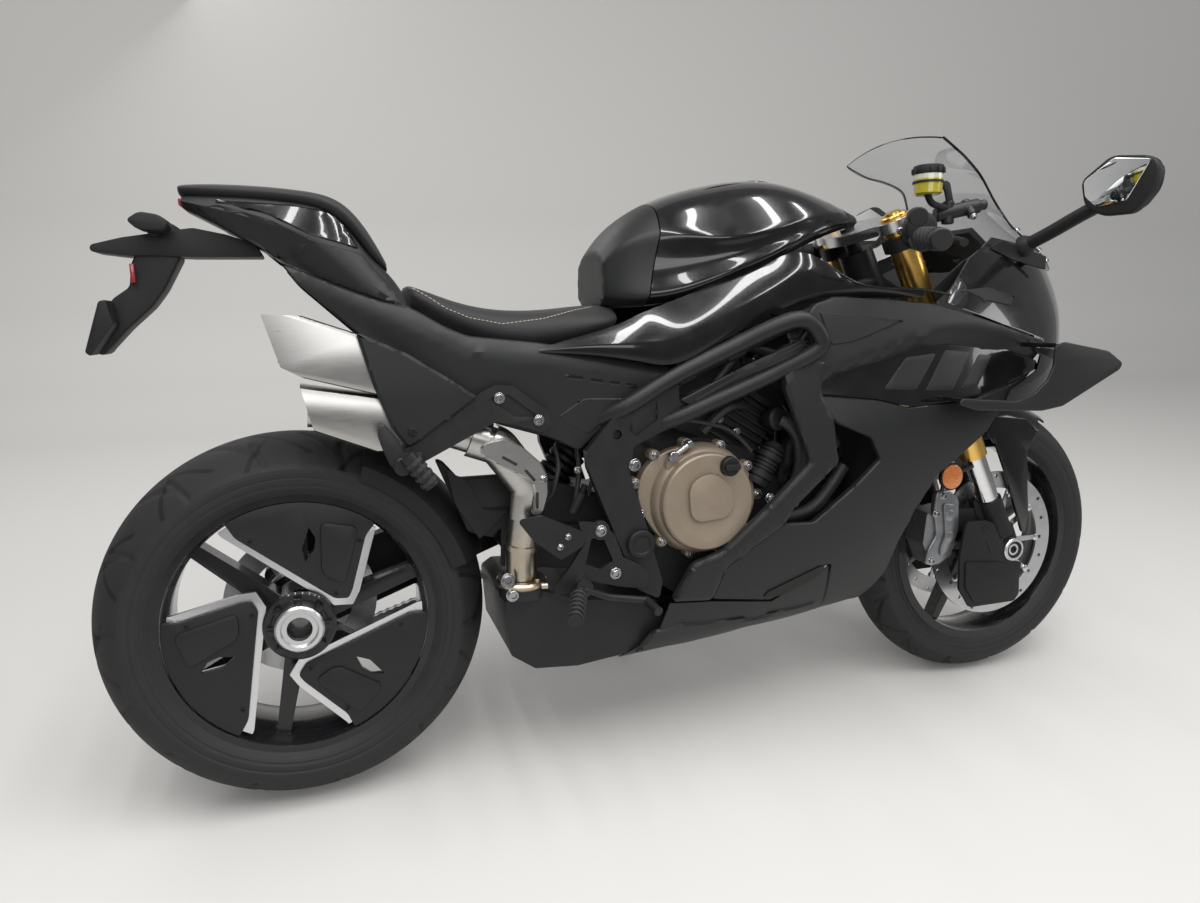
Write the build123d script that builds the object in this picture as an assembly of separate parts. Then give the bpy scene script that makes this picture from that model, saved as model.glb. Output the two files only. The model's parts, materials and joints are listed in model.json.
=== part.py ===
from build123d import *
import math
import os

# Sport bike, modelled upright and then leant onto its side stand.
# Upright frame, millimetres: origin on the ground under the rear axle,
# +X forward, +Y to the rider's left, +Z up.

# ---- driving dimensions ----
LEAN = 8.0                  # lean to the left on the side stand, degrees
WHEELBASE = 1427.0
RAKE = 24.5                 # steering axis from the vertical, degrees
TRAIL = 101.0               # steering axis ahead of the contact patch, at the ground
REAR_R, REAR_W = 315.0, 180.0
FRONT_R, FRONT_W = 300.0, 120.0
BEAD_SEAT_R = 218.3         # 17 inch rim
FLANGE_R = 231.0
REAR_RIM_HALF = 76.0        # over the flanges, 5.5 inch rim
FRONT_RIM_HALF = 50.0       # 3.5 inch rim
FLANGE_T = 6.0
FORK_Y = 105.0              # fork leg centre line from the middle
FORK_OUTER_R = 27.0
STANCHION_R = 21.5
BAR_R = 11.0
SHELL_T = 4.0               # body panel thickness
GAP = 0.5                   # gap left between parts of different bodies or panels
CHAIN_PITCH = 15.875
FRONT_TEETH, REAR_TEETH = 16, 45
FRONT_SPROCKET = (650.0, 432.0)

REAR_AXLE = (0.0, REAR_R)
FRONT_AXLE = (WHEELBASE, FRONT_R)
TAN_RAKE = math.tan(math.radians(RAKE))


def steer_x(z):
    """X of the steering axis at height z."""
    return WHEELBASE + TRAIL - z * TAN_RAKE


def fork_x(z):
    """X of a fork leg's centre line at height z: it passes through the axle."""
    return WHEELBASE + (FRONT_R - z) * TAN_RAKE


# ---- shape helpers ----
def sketch_xz(points, radius=0):
    """Closed outline from (x, z) corners, its corners rounded when a radius is given."""
    if radius:
        return make_face(FilletPolyline(*points, radius=radius, close=True))
    return make_face(Polyline(*points, close=True))


def along_y(sketch, y_low, y_high):
    """A sketch drawn in x and z, made solid from y_low to y_high."""
    return extrude(Plane.XZ.offset(-y_high) * sketch, y_high - y_low, dir=(0, -1, 0))


def slab(points, y_low, y_high, radius=0):
    return along_y(sketch_xz(points, radius), y_low, y_high)


def disc(x, z, radius, y_low, y_high):
    return along_y(Pos(x, z) * Circle(radius), y_low, y_high)


def ring(x, z, outer, inner, y_low, y_high):
    return along_y(Pos(x, z) * (Circle(outer) - Circle(inner)), y_low, y_high)


def rod(start, end, radius, bore=0):
    """Round bar between two points, hollow when a bore is given."""
    run = Vector(*end) - Vector(*start)
    plane = Plane(origin=start, z_dir=run.normalized())
    section = Circle(radius) - Circle(bore) if bore else Circle(radius)
    return extrude(plane * section, run.length)


def tube(points, radius, bend, bore=0):
    """Bent tube through the points, with arcs of radius bend at its corners."""
    path = FilletPolyline(*points, radius=bend)
    section = Circle(radius) - Circle(bore) if bore else Circle(radius)
    return sweep(Plane(origin=path @ 0, z_dir=path % 0) * section, path=path)


def box(x_low, x_high, y_low, y_high, z_low, z_high):
    size = (x_high - x_low, y_high - y_low, z_high - z_low)
    middle = ((x_low + x_high) / 2, (y_low + y_high) / 2, (z_low + z_high) / 2)
    return Pos(*middle) * Box(*size)


def hull_loft(rows):
    """Symmetric body: rows of (x, ((z, half width), ...)), bottom to top."""
    faces = []
    for x, sides in rows:
        left = [(width, z) for z, width in sides]
        right = [(-width, z) for z, width in reversed(sides)]
        faces.append(Plane.YZ.offset(x) * make_face(Polyline(*left, *right, close=True)))
    return loft(faces, ruled=True)


def strip_loft(rows, thickness):
    """Left-hand panel: rows of (x, z low, y low, z high, y high), lofted along x."""
    faces = []
    for x, z_low, y_low, z_high, y_high in rows:
        corners = [(y_low, z_low), (y_high, z_high),
                   (y_high - thickness, z_high), (y_low - thickness, z_low)]
        faces.append(Plane.YZ.offset(x) * make_face(Polyline(*corners, close=True)))
    return loft(faces, ruled=True)


def mirrored(shape):
    return mirror(shape, about=Plane.XZ)


def both(shape):
    """The shape and its mirror image across the middle plane."""
    return solids(shape, mirrored(shape))


def solids(*shapes):
    """All solids of the shapes in one flat list."""
    found = []
    for shape in shapes:
        if isinstance(shape, (list, tuple)):
            found.extend(solids(*shape))
        else:
            found.extend(shape.solids())
    return found


def cut(shapes, *tools):
    """Every shape less every tool."""
    result = []
    for shape in solids(shapes):
        for tool in solids(*tools):
            shape = shape - tool
        result.extend(shape.solids())
    return result


# ---- wheels ----
def tyre(axle, radius, width, rim_half):
    """Hollow radial tyre seated on its rim."""
    x, z = axle
    half = width / 2
    inner_wall = rim_half - FLANGE_T
    shoulder = (half - 2, radius - 0.26 * width)
    wall = (inner_wall + 9, FLANGE_R + 3)
    bulge = (half, (shoulder[1] + wall[1]) / 2)
    skin = 9.0

    def arch(inset, foot_y, foot_r):
        top = radius - inset
        side = (shoulder[0] - inset, shoulder[1] - inset * 0.4)
        belly = (bulge[0] - inset, bulge[1])
        base = (wall[0] - inset, wall[1])
        return [
            ThreePointArc((-side[0], side[1]), (0, top), side),
            Line(side, belly), Line(belly, base),
            Line(base, (foot_y, FLANGE_R)), Line((foot_y, FLANGE_R), (foot_y, foot_r)),
            Line((foot_y, foot_r), (-foot_y, foot_r)),
            Line((-foot_y, foot_r), (-foot_y, FLANGE_R)), Line((-foot_y, FLANGE_R), (-base[0], base[1])),
            Line((-base[0], base[1]), (-belly[0], belly[1])),
            Line((-belly[0], belly[1]), (-side[0], side[1])),
        ]

    outer = make_face(arch(0, inner_wall, BEAD_SEAT_R))
    hollow = make_face(arch(skin, inner_wall - skin - 4, BEAD_SEAT_R))
    return revolve_about_axle(outer - hollow, x, z)


def revolve_about_axle(section, x, z):
    """Turn a (y, radius) section about the axle line at x, z."""
    plane = Plane(origin=(x, 0, z), x_dir=(0, 1, 0), z_dir=(1, 0, 0))
    return revolve(plane * section, Axis((x, 0, z), (0, 1, 0)))


def rim(axle, half, lip_r, well_r):
    """Drop-centre rim with a flange and a bead seat each side."""
    x, z = axle
    seat = half - FLANGE_T
    side = [(half, lip_r), (half, FLANGE_R), (seat, FLANGE_R), (seat, BEAD_SEAT_R),
            (seat - 18, BEAD_SEAT_R), (seat - 26, well_r + 6)]
    under = [(seat - 26, well_r), (seat - 8, lip_r)]
    outline = side + [(-y, r) for y, r in reversed(side)] + [(-y, r) for y, r in reversed(under)] + under
    return revolve_about_axle(make_face(Polyline(*outline, close=True)), x, z)


def spokes(axle, count, first, hub_r, rim_r, hub_w, rim_w, y_low, y_high):
    """Tapered spokes; angles from +X towards +Z."""
    x, z = axle
    shapes = []
    for i in range(count):
        turn = first + i * 360 / count
        blade = Polygon((hub_r, -hub_w / 2), (rim_r, -rim_w / 2), (rim_r, rim_w / 2),
                        (hub_r, hub_w / 2), align=None)
        shapes.append(along_y(Pos(x, z) * Rot(0, 0, turn) * blade, y_low, y_high))
    return shapes


REAR_SPOKE_ANGLE = 18.0
REAR_COVER_Y = -66.0        # outer face of the wheel covers
HUB_R = 53.0
SPINDLE_R = 27.0


def rear_wheel():
    x, z = REAR_AXLE
    nodes = {}
    nodes["rear_tyre"] = [tyre(REAR_AXLE, REAR_R, REAR_W, REAR_RIM_HALF)]
    body = rim(REAR_AXLE, REAR_RIM_HALF, 209, 200)
    for blade in spokes(REAR_AXLE, 3, REAR_SPOKE_ANGLE, 40, 208, 34, 22, -46, -8):
        body += blade
    for blade in spokes(REAR_AXLE, 3, REAR_SPOKE_ANGLE - 52, 40, 208, 30, 18, -46, -14):
        body += blade
    body += disc(x, z, HUB_R, -70, 40)
    body += disc(x, z, 62, 28, 40)
    body -= disc(x, z, SPINDLE_R, -71, 41)
    nodes["rear_rim"] = [body]
    # Cover outline: (x, z) from the axle, an inner corner between two straight edges
    corner = [(-107, 160), (56, 25), (86, 23), (98, 45), (130, 148)]
    slot = Polygon((26, 164), (35, 145), (32, 127), (16, 106), (13, 130), align=None)
    covers = []
    for turn in (0, 120, 240):
        outline = make_face([Polyline(*corner), ThreePointArc(corner[-1], (16, 196), corner[0])])
        plate = along_y(Pos(x, z) * Rot(0, 0, turn) * outline, REAR_COVER_Y, REAR_COVER_Y + 4)
        inset = make_face([Polyline((-88, 157), (58, 40), (82, 37), (89, 50), (115, 143)),
                           ThreePointArc((115, 143), (12, 184), (-88, 157))])
        plate += along_y(Pos(x, z) * Rot(0, 0, turn) * inset, REAR_COVER_Y - 6, REAR_COVER_Y)
        blister = Polygon((44, 172), (104, 158), (76, 62), (40, 84), align=None)
        plate += along_y(Pos(x, z) * Rot(0, 0, turn) * blister, REAR_COVER_Y - 10, REAR_COVER_Y - 6)
        stay = Polygon((56, 66), (80, 60), (88, 150), (64, 156), align=None)
        plate += along_y(Pos(x, z) * Rot(0, 0, turn) * stay, REAR_COVER_Y + 4, -46)
        plate -= along_y(Pos(x, z) * Rot(0, 0, turn) * slot, REAR_COVER_Y - 12, REAR_COVER_Y + 5)
        covers.append(plate)
    nodes["rear_wheel_covers"] = cut(covers, body)
    rotor = ring(x, z, 130, 88, 52, 57)
    for blade in spokes(REAR_AXLE, 6, 0, 60, 92, 16, 14, 52, 57):
        rotor += blade
    rotor += ring(x, z, 64, 50, 40, 57)
    nodes["rear_disc"] = [rotor]
    hub = ring(x, z, 46, SPINDLE_R, 136, 141)
    teeth = sprocket(x, z, REAR_TEETH, 141, 147) - disc(x, z, SPINDLE_R, 140, 150)
    nodes["rear_sprocket"] = solids(teeth + hub)
    flange, nut = ring(x, z, 38, 19, -84, -70), ring(x, z, 38, 19, 147, 160)
    nodes["rear_spindle"] = solids(ring(x, z, SPINDLE_R, 19, -84, 147) + flange + nut)
    return nodes


def sprocket(x, z, teeth, y_low, y_high):
    pitch_r = CHAIN_PITCH / 2 / math.sin(math.pi / teeth)
    tip, root = pitch_r + 5, pitch_r - 4.5
    points = []
    for i in range(teeth):
        base = 360 * i / teeth
        for turn, radius in ((-2.6, root), (-1.2, tip), (1.2, tip), (2.6, root)):
            angle = math.radians(base + turn * 45 / teeth)
            points.append((radius * math.cos(angle), radius * math.sin(angle)))
    wheel = Pos(x, z) * Polygon(*points, align=None)
    for i in range(5 if teeth > 30 else 0):
        angle = math.radians(72 * i)
        hole_x = x + 0.66 * pitch_r * math.cos(angle)
        hole_z = z + 0.66 * pitch_r * math.sin(angle)
        wheel -= Pos(hole_x, hole_z) * Circle(0.2 * pitch_r)
    return along_y(wheel, y_low, y_high)


FRONT_DISC_Y = 70.0


def front_wheel():
    x, z = FRONT_AXLE
    nodes = {}
    nodes["front_tyre"] = [tyre(FRONT_AXLE, FRONT_R, FRONT_W, FRONT_RIM_HALF)]
    body = rim(FRONT_AXLE, FRONT_RIM_HALF, 209, 202)
    for blade in spokes(FRONT_AXLE, 5, 26, 28, 206, 30, 15, -16, 16):
        body += blade
    body += disc(x, z, 42, -56, 56)
    body -= disc(x, z, 14, -57, 57)
    nodes["front_rim"] = [body]
    discs = []
    for side in (-1, 1):
        low = side * FRONT_DISC_Y - 2.5
        high = low + 5
        band = Pos(x, z) * (Circle(158) - Circle(122))
        for i in range(20):
            angle, hole_r = math.radians(18 * i), (131, 140, 149)[i % 3]
            band -= Pos(x + hole_r * math.cos(angle), z + hole_r * math.sin(angle)) * Circle(4)
        rotor = along_y(band, low, high)
        for blade in spokes(FRONT_AXLE, 10, 0, 54, 124, 13, 9, low + 1, high - 1):
            rotor += blade
        near = min(abs(low), abs(high))
        rotor += ring(x, z, 58, 34, min(side * 56, side * (near + 5)), max(side * 56, side * (near + 5)))
        discs.append(rotor)
    nodes["front_discs"] = discs
    return nodes


# ---- front end that steers ----
def fork_point(z, y=FORK_Y):
    return (fork_x(z), y, z)


RESERVOIR = (1104.0, -197.0, 1030.0)
TOP_YOKE_Z = 962.0
LOW_YOKE_Z = 745.0
# heights of the stem's lower end, of its stand seat's end and of its top
STEM_FOOT, STEM_SEAT_TOP, STEM_TOP = 725.0, 780.0, 986.0
DRAIN_R = 5.0
STEM_BORE_R = 8.0


def yoke(z, thickness, fork_bore, steer_bore):
    """Clamp plate square to the steering axis, round both fork legs and the stem."""
    axis = Vector(-math.sin(math.radians(RAKE)), 0, math.cos(math.radians(RAKE)))
    plane = Plane(origin=(steer_x(z), 0, z), x_dir=(0, 1, 0), z_dir=axis)
    # local x = left, local y = backwards and down, the fork legs stand in front of the stem
    offset = (fork_x(z) - steer_x(z)) * math.cos(math.radians(RAKE))
    plate = Polygon((-FORK_Y, -offset - 30), (FORK_Y, -offset - 30), (FORK_Y + 20, -offset + 20),
                    (30, 34), (-30, 34), (-FORK_Y - 20, -offset + 20), align=None)
    for side in (-1, 1):
        plate += Pos(side * FORK_Y, -offset) * Circle(38)
    for side in (-1, 1):
        plate -= Pos(side * FORK_Y, -offset) * Circle(fork_bore)
    if steer_bore:
        plate -= Circle(steer_bore)
    return extrude(plane * plate, thickness)


def steering():
    x, z = FRONT_AXLE
    nodes = {}
    nodes["fork_outer_tubes"] = both(rod(fork_point(505), fork_point(982), FORK_OUTER_R, STANCHION_R))
    nodes["fork_stanchions"] = both(rod(fork_point(352), fork_point(974), STANCHION_R))
    foot = rod(fork_point(330), fork_point(410), 26, STANCHION_R) + disc(x, z, 26, 88, 122)
    foot += slab([(x - 26, z), (x + 26, z), (fork_x(352) + 26, 356), (fork_x(352) - 26, 344)], 88, 122)
    foot += slab([(x - 80, z + 75), (x - 20, z + 10), (x - 40, z + 80), (x - 90, z + 110)], 92, 108)
    foot = cut(foot, rod(fork_point(352), fork_point(500), STANCHION_R), disc(x, z, 12.5, 80, 130))
    nodes["front_axle"] = [ring(x, z, 12.5, 8, -132, 132)]
    nodes["top_yoke"] = [yoke(TOP_YOKE_Z - 14, 20, FORK_OUTER_R, 14)]
    stem_foot, stem_seat_top = (steer_x(STEM_FOOT), 0, STEM_FOOT), (steer_x(STEM_SEAT_TOP), 0, STEM_SEAT_TOP)
    lower = yoke(LOW_YOKE_Z - 16, 34, FORK_OUTER_R, 0) + rod(stem_foot, (steer_x(STEM_TOP), 0, STEM_TOP), 14)
    # drain bore all the way up, and the seat for a paddock stand's pin at the lower end
    below_stem = (steer_x(700), 0, 700)
    lower = lower - rod(below_stem, (steer_x(990), 0, 990), DRAIN_R)
    nodes["lower_yoke_stem"] = [lower - rod(below_stem, stem_seat_top, STEM_BORE_R)]
    # clip-on bars: clamp under the top yoke, bar swept back and down
    root = (fork_x(938) - 2, FORK_Y + 26, 943)
    tip = (1026, 338, 918)
    clamp_low, clamp_high = fork_point(926), fork_point(950)
    clamp = rod(clamp_low, clamp_high, 36, FORK_OUTER_R)
    bar = cut(rod(root, tip, BAR_R), rod(fork_point(910), fork_point(965), 36))
    bar = bar[0] + clamp

    def on_bar(t):
        return tuple(a + (b - a) * t for a, b in zip(root, tip))

    nodes["grips"] = both(rod(on_bar(0.46), on_bar(0.97), 17, BAR_R))
    bar += rod(on_bar(0.99), on_bar(1.09), 16)
    nodes["clip_ons"] = both(bar)
    switches = rod(on_bar(0.24), on_bar(0.44), 22, BAR_R)
    lever_root = on_bar(0.24)
    tip_point = on_bar(0.86)
    lever = tube([(lever_root[0] + 22, lever_root[1], lever_root[2] + 2),
                  (lever_root[0] + 46, lever_root[1] + 24, lever_root[2] - 2),
                  (tip_point[0] + 56, tip_point[1] + 6, tip_point[2] - 6)], 7, 12)
    perch = rod(on_bar(0.12), on_bar(0.24), 19, BAR_R)
    pot = box(lever_root[0] + 8, lever_root[0] + 36, lever_root[1] - 24, lever_root[1] + 2,
              lever_root[2] - 12, lever_root[2] + 14)
    controls = cut(perch + pot + switches + lever, rod(root, tip, BAR_R), clamp)
    nodes["bar_controls"] = both(controls)
    # front fluid reservoir on its stalk, on the right-hand perch
    res_x, res_y, res_z = RESERVOIR
    pot = Pos(res_x, res_y, res_z) * Cylinder(24, 36) + Pos(res_x, res_y, res_z + 25) * Cylinder(27, 14)
    stalk_foot = (lever_root[0] + 12, -lever_root[1] + 18, 942)
    stalk = tube([(res_x, res_y, res_z - 12), (res_x, res_y, 985), stalk_foot], 5, 14)
    nodes["brake_reservoir"] = cut(pot + stalk, nodes["bar_controls"], nodes["clip_ons"])
    # fender: hugs the tyre, with side blades down the fork legs
    outer = revolve_about_axle(fender_section(11), x, z)
    inner = revolve_about_axle(fender_section(8), x, z)
    fender_sector = [(x, z), (x - 232, z + 150), (x - 232, z + 360), (x + 260, z + 360), (x + 260, z + 130)]
    sector = slab(fender_sector, -120, 120)
    shell = (outer - inner) & sector
    blade = slab([(x - 62, z + 235), (x + 60, z + 215), (x + 69, z + 150), (x + 62, z + 40), (x + 22, z + 66),
                  (x - 22, z + 160)], 78, 82)
    nodes["front_fender"] = solids(shell + blade + mirrored(blade))
    fork_room = rod(fork_point(300), fork_point(600), FORK_OUTER_R + GAP)
    nodes["front_fender"] = cut(nodes["front_fender"], both(fork_room))
    caliper = slab([(x - 205, z + 92), (x - 152, z + 100), (x - 138, z + 60), (x - 138, z - 5), (x - 190, z - 22),
                    (x - 212, z + 30)], 50, 106, 6)
    caliper = cut(caliper, disc(x, z, 162, FRONT_DISC_Y - 6, FRONT_DISC_Y + 6), disc(x, z, 212, 40, 55))
    mount = slab([(x - 150, z + 96), (x - 150, z + 40), (x - 60, z + 52), (x - 78, z + 92)], 92, 106)
    foot = foot[0] + mount - rod(fork_point(352), fork_point(600), STANCHION_R)
    nodes["fork_feet"] = both(foot)
    nodes["front_calipers"] = both(cut(caliper, foot))
    duct = slab([(x - 139, z + 26), (x - 129, z + 75), (x - 79, z + 68), (x - 45, z + 34), (x - 27, z + 14),
                 (x + 8, z - 60), (x + 26, z - 115), (x - 60, z - 98), (x - 140, z - 66)], 125, 131, 6)
    duct = duct + disc(x - 100, z + 60, 8, 106, 126) + disc(x - 24, z - 6, 8, 118, 126)
    duct = cut(duct, foot)
    nodes["brake_ducts"] = both(duct)
    bracket = tube([(1300, 136, 460), (1320, 136, 468), (1340, 126, 480)], 4, 5)
    bracket = bracket + disc(1300, 460, 21, 138, 146)
    nodes["round_reflectors"] = both(cut(bracket, rod(fork_point(300), fork_point(600), STANCHION_R)))
    return nodes


def fender_section(gap):
    """(y, radius) section that follows the front tyre at the given gap."""
    half = FRONT_W / 2 + gap
    top = FRONT_R + gap
    arc = ThreePointArc((-half, 250), (0, top), (half, 250))
    return make_face([arc, Polyline((half, 250), (half, 230), (-half, 230), (-half, 250))])


# ---- frame, engine and running gear on the chassis ----
HEAD_R = 34.0
PIVOT = (565.0, 420.0)      # swingarm pivot
PLATE_Y = (155.0, 173.0)    # inner and outer face of the pivot plates
PIVOT_R = 16.0
SHOCK_TOP = (545.0, 622.0)  # cross tube that carries the shock absorber
# Main frame tubes on one side: radius, then centre line from the pivot plate to the steering head
SPARS = [
    (15, [(612, 160, 690), (880, 160, 795), (1060, 90, 852), (1130, 22, 858)]),
    (12, [(600, 160, 640), (920, 160, 742), (1090, 80, 802), (1152, 22, 808)]),
]
SPAR_WEBS = [((700, 160, 672), (770, 160, 752)), ((860, 160, 723), (770, 160, 752)),
             ((860, 160, 723), (960, 134, 829))]
PIVOT_PLATE = [(640, 712), (619, 704), (524, 645), (472, 586), (474, 557), (520, 438), (561, 335), (600, 314),
               (606, 345), (578, 447), (548, 541), (556, 588), (640, 625)]


def frame():
    nodes = {}
    head = rod((steer_x(778), 0, 778), (steer_x(926), 0, 926), HEAD_R, 14.5)
    head = head + rod((steer_x(772), 0, 772), (steer_x(779), 0, 779), HEAD_R + 6, 14.5)
    spars = [tube(points, radius, 60) for radius, points in SPARS]
    webs = [rod(low, high, 9) for low, high in SPAR_WEBS]
    whole = head
    for piece in spars + webs:
        whole = whole + piece + mirrored(piece)
    whole = whole - rod((steer_x(700), 0, 700), (steer_x(1000), 0, 1000), 14.5)
    nodes["frame_tubes"] = solids(whole)
    inner, outer = PLATE_Y
    plate = slab(PIVOT_PLATE, inner, outer, 6)
    plate = plate - slab([(600, 662), (556, 640), (548, 618), (560, 606), (600, 632)], outer - 4, outer + 1)
    plate = plate - disc(527, 611, 8, inner - 1, outer + 1)
    plate = cut(plate, spars, disc(*PIVOT, PIVOT_R, 130, 190))
    reach = inner + 6
    whole = rod((SHOCK_TOP[0], -reach, SHOCK_TOP[1]), (SHOCK_TOP[0], reach, SHOCK_TOP[1]), 12)
    for piece in both(plate):
        whole = whole + piece
    nodes["pivot_plates"] = solids(whole + stand_bracket())
    rear = tube([(570, 130, 672), (420, 112, 712), (255, 84, 752), (160, 72, 799)], 11, 60)
    brace = tube([(530, 130, 600), (400, 112, 640), (262, 86, 740)], 9, 40)
    foot = rod((568, 116, 673), (568, inner, 673), 14) + rod((532, 116, 600), (532, inner, 600), 12)
    whole = rear + mirrored(rear) + brace + mirrored(brace) + foot + mirrored(foot)
    for x, y, z in ((180, 75, 789), (400, 110, 717)):
        whole = whole + rod((x, -y, z), (x, y, z), 9)
    nodes["subframe"] = solids(whole)
    return nodes


CRANKCASE_HALF = 132.0      # half width of the crankcase
CLUTCH = (690.0, 482.0)     # clutch cover centre
CLUTCH_BOLTS = [(602, 567), (565, 520), (575, 465), (614, 411), (669, 385), (728, 387), (780, 418), (803, 480),
                (783, 534), (729, 575), (663, 583)]
GENERATOR = (795.0, 430.0)
HEAD_LEAN = 32.0            # the cylinders lean forward, degrees from the vertical
CYLINDER_FOOT = (752.0, 545.0)


def lathe_y(x, z, profile):
    """Turned piece about the line at x, z across the bike, from (y, radius) corners."""
    section = make_face(Polyline(*profile, close=True))
    return revolve_about_axle(section, x, z)


# turned profiles from the outside of the crankcase outwards, as (y, radius)
CLUTCH_DOME = [(-150, 0), (-150, 96), (-158, 95), (-170, 90), (-184, 88), (-188, 84), (-188, 0)]
GENERATOR_CAP = [(144, 84), (152, 76), (166, 72), (170, 62), (170, 0)]


def along_cylinders(distance):
    """Point in the middle of the cylinder block, this far up from its foot."""
    tilt = math.radians(HEAD_LEAN)
    return CYLINDER_FOOT[0] + distance * math.sin(tilt), 0, CYLINDER_FOOT[1] + distance * math.cos(tilt)


def engine():
    nodes = {}
    half = CRANKCASE_HALF
    crank = slab([(612, 490), (612, 330), (660, 296), (800, 296), (850, 360), (858, 500), (800, 560),
                  (700, 590), (600, 585)], -half, half, 12)
    barrel = slab([(700, 560), (800, 520), (915, 700), (880, 770), (800, 762), (716, 640)], -116, 116, 10)
    whole = crank + barrel
    for distance in range(30, 115, 14):
        middle = along_cylinders(distance)
        whole = whole + Pos(*middle) * Rot(0, HEAD_LEAN, 0) * Box(122, 248, 5)
    for distance, width in ((128, 132), (176, 118)):
        middle = along_cylinders(distance)
        whole = whole + Pos(*middle) * Rot(0, HEAD_LEAN, 0) * Box(width, 256, 12)
    # end covers of the two camshafts, and the starter and oil filter in front of the crankcase
    for x, z in ((812, 724), (864, 694)):
        whole = whole + disc(x, z, 26, -124, 124)
    whole = whole + rod((838, -70, 430), (905, -70, 410), 38) + rod((840, 30, 500), (840, 110, 500), 30)
    # output shaft of the gearbox
    whole = whole + disc(*FRONT_SPROCKET, 12, half - 4, 141)
    nodes["engine"] = solids(whole)
    flange = Polygon(*CLUTCH_BOLTS, align=None)
    for x, z in CLUTCH_BOLTS:
        flange += Pos(x, z) * Circle(9)
    cover = along_y(flange, -153, -half)
    cover = cover + lathe_y(*CLUTCH, CLUTCH_DOME)
    cover = cover + disc(642, 545, 26, -168, -half) + disc(728, 544, 15, -197, -half)
    nodes["clutch_cover"] = solids(cover)
    generator = lathe_y(*GENERATOR, [(half, 0), (half, 84)] + GENERATOR_CAP)
    guard = slab([(614, 482), (708, 488), (708, 374), (640, 352), (614, 372)], 154, 164, 12)
    for x, z in ((700, 476), (700, 386)):
        guard = guard + disc(x, z, 7, half, 160)
    nodes["left_engine_covers"] = solids(generator, guard)
    core = Pos(1050, 0, 575) * Rot(0, 18, 0) * Box(30, 330, 290)
    for y in (-158, 158):
        core = core + Pos(1050, y, 575) * Rot(0, 18, 0) * Box(44, 30, 300)
    for side in (-1, 1):
        core = core + tube([(1052, side * 150, 668), (985, side * 150, 668), (925, side * 140, 640),
                            (880, side * 138, 560), (862, side * 110, 470)], 14, 30)
    nodes["radiator"] = cut(core, nodes["engine"])
    return nodes


def chain_loop(offset_at_pin, offset_at_waist):
    """Closed line round both sprockets, at two offsets from the pitch line in turn."""
    (xr, zr), (xf, zf) = REAR_AXLE, FRONT_SPROCKET
    rear_r = CHAIN_PITCH / 2 / math.sin(math.pi / REAR_TEETH)
    front_r = CHAIN_PITCH / 2 / math.sin(math.pi / FRONT_TEETH)
    span = math.hypot(xf - xr, zf - zr)
    slope = math.atan2(zf - zr, xf - xr)
    open_angle = math.acos((rear_r - front_r) / span)
    run = math.sqrt(span ** 2 - (rear_r - front_r) ** 2)
    arcs = (front_r * 2 * open_angle, rear_r * (2 * math.pi - 2 * open_angle))
    length = 2 * run + sum(arcs)
    steps = 2 * round(length / CHAIN_PITCH)

    def point(s, offset):
        """Point at distance s from the top of the rear sprocket's forward run."""
        up = slope + open_angle
        down = slope - open_angle
        if s < run:
            start = (xr + rear_r * math.cos(up), zr + rear_r * math.sin(up))
            heading = up - math.pi / 2
            base = (start[0] + s * math.cos(heading), start[1] + s * math.sin(heading))
            return base[0] + offset * math.cos(up), base[1] + offset * math.sin(up)
        s -= run
        if s < arcs[0]:
            angle = up - s / front_r
            return xf + (front_r + offset) * math.cos(angle), zf + (front_r + offset) * math.sin(angle)
        s -= arcs[0]
        if s < run:
            start = (xf + front_r * math.cos(down), zf + front_r * math.sin(down))
            heading = down - math.pi / 2
            base = (start[0] + s * math.cos(heading), start[1] + s * math.sin(heading))
            return base[0] + offset * math.cos(down), base[1] + offset * math.sin(down)
        angle = down - (s - run) / rear_r
        return xr + (rear_r + offset) * math.cos(angle), zr + (rear_r + offset) * math.sin(angle)

    offsets = (offset_at_pin, offset_at_waist)
    return [point(i * length / steps, offsets[i % 2]) for i in range(steps)], run, slope, open_angle


def drive_chain():
    """Chain whose side plates straddle both sprockets, joined by its rollers on the two straight runs."""
    outer, run, slope, open_angle = chain_loop(7.5, 5.0)
    inner = chain_loop(-7.5, -5.0)[0]
    band = make_face(Polyline(*outer, close=True)) - make_face(Polyline(*inner, close=True))
    chain = along_y(band, 136.5, 139) + along_y(band, 149, 151.5)
    middle, sprocket_r = REAR_AXLE, CHAIN_PITCH / 2 / math.sin(math.pi / REAR_TEETH)
    for angle in (slope + open_angle, slope - open_angle):
        side = 1 if angle > slope else -1
        heading = angle - side * math.pi / 2
        start = (middle[0] + sprocket_r * math.cos(angle), middle[1] + sprocket_r * math.sin(angle))

        def on_run(along, across):
            return (start[0] + along * math.cos(heading) + across * math.cos(angle),
                    start[1] + along * math.sin(heading) + across * math.sin(angle))

        strip = [on_run(70, -4), on_run(run - 50, -4), on_run(run - 50, 4), on_run(70, 4)]
        chain = chain + slab(strip, 138.5, 149.5)
    return {"drive_chain": solids(chain)}


# Mufflers: outlines in x and z of the upper and the lower can
UPPER_CAN = [(8, 744), (-13, 821), (43, 818), (120, 792), (236, 752), (250, 690), (150, 694), (39, 726)]
LOWER_CAN = [(48, 644), (32, 715), (152, 692), (262, 676), (268, 612), (138, 606)]
MUFFLER_Y = (-163.0, -95.0)
LINK_PATH = [(366, -112, 346), (368, -116, 420), (381, -130, 530), (330, -134, 602), (230, -132, 640)]


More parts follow.
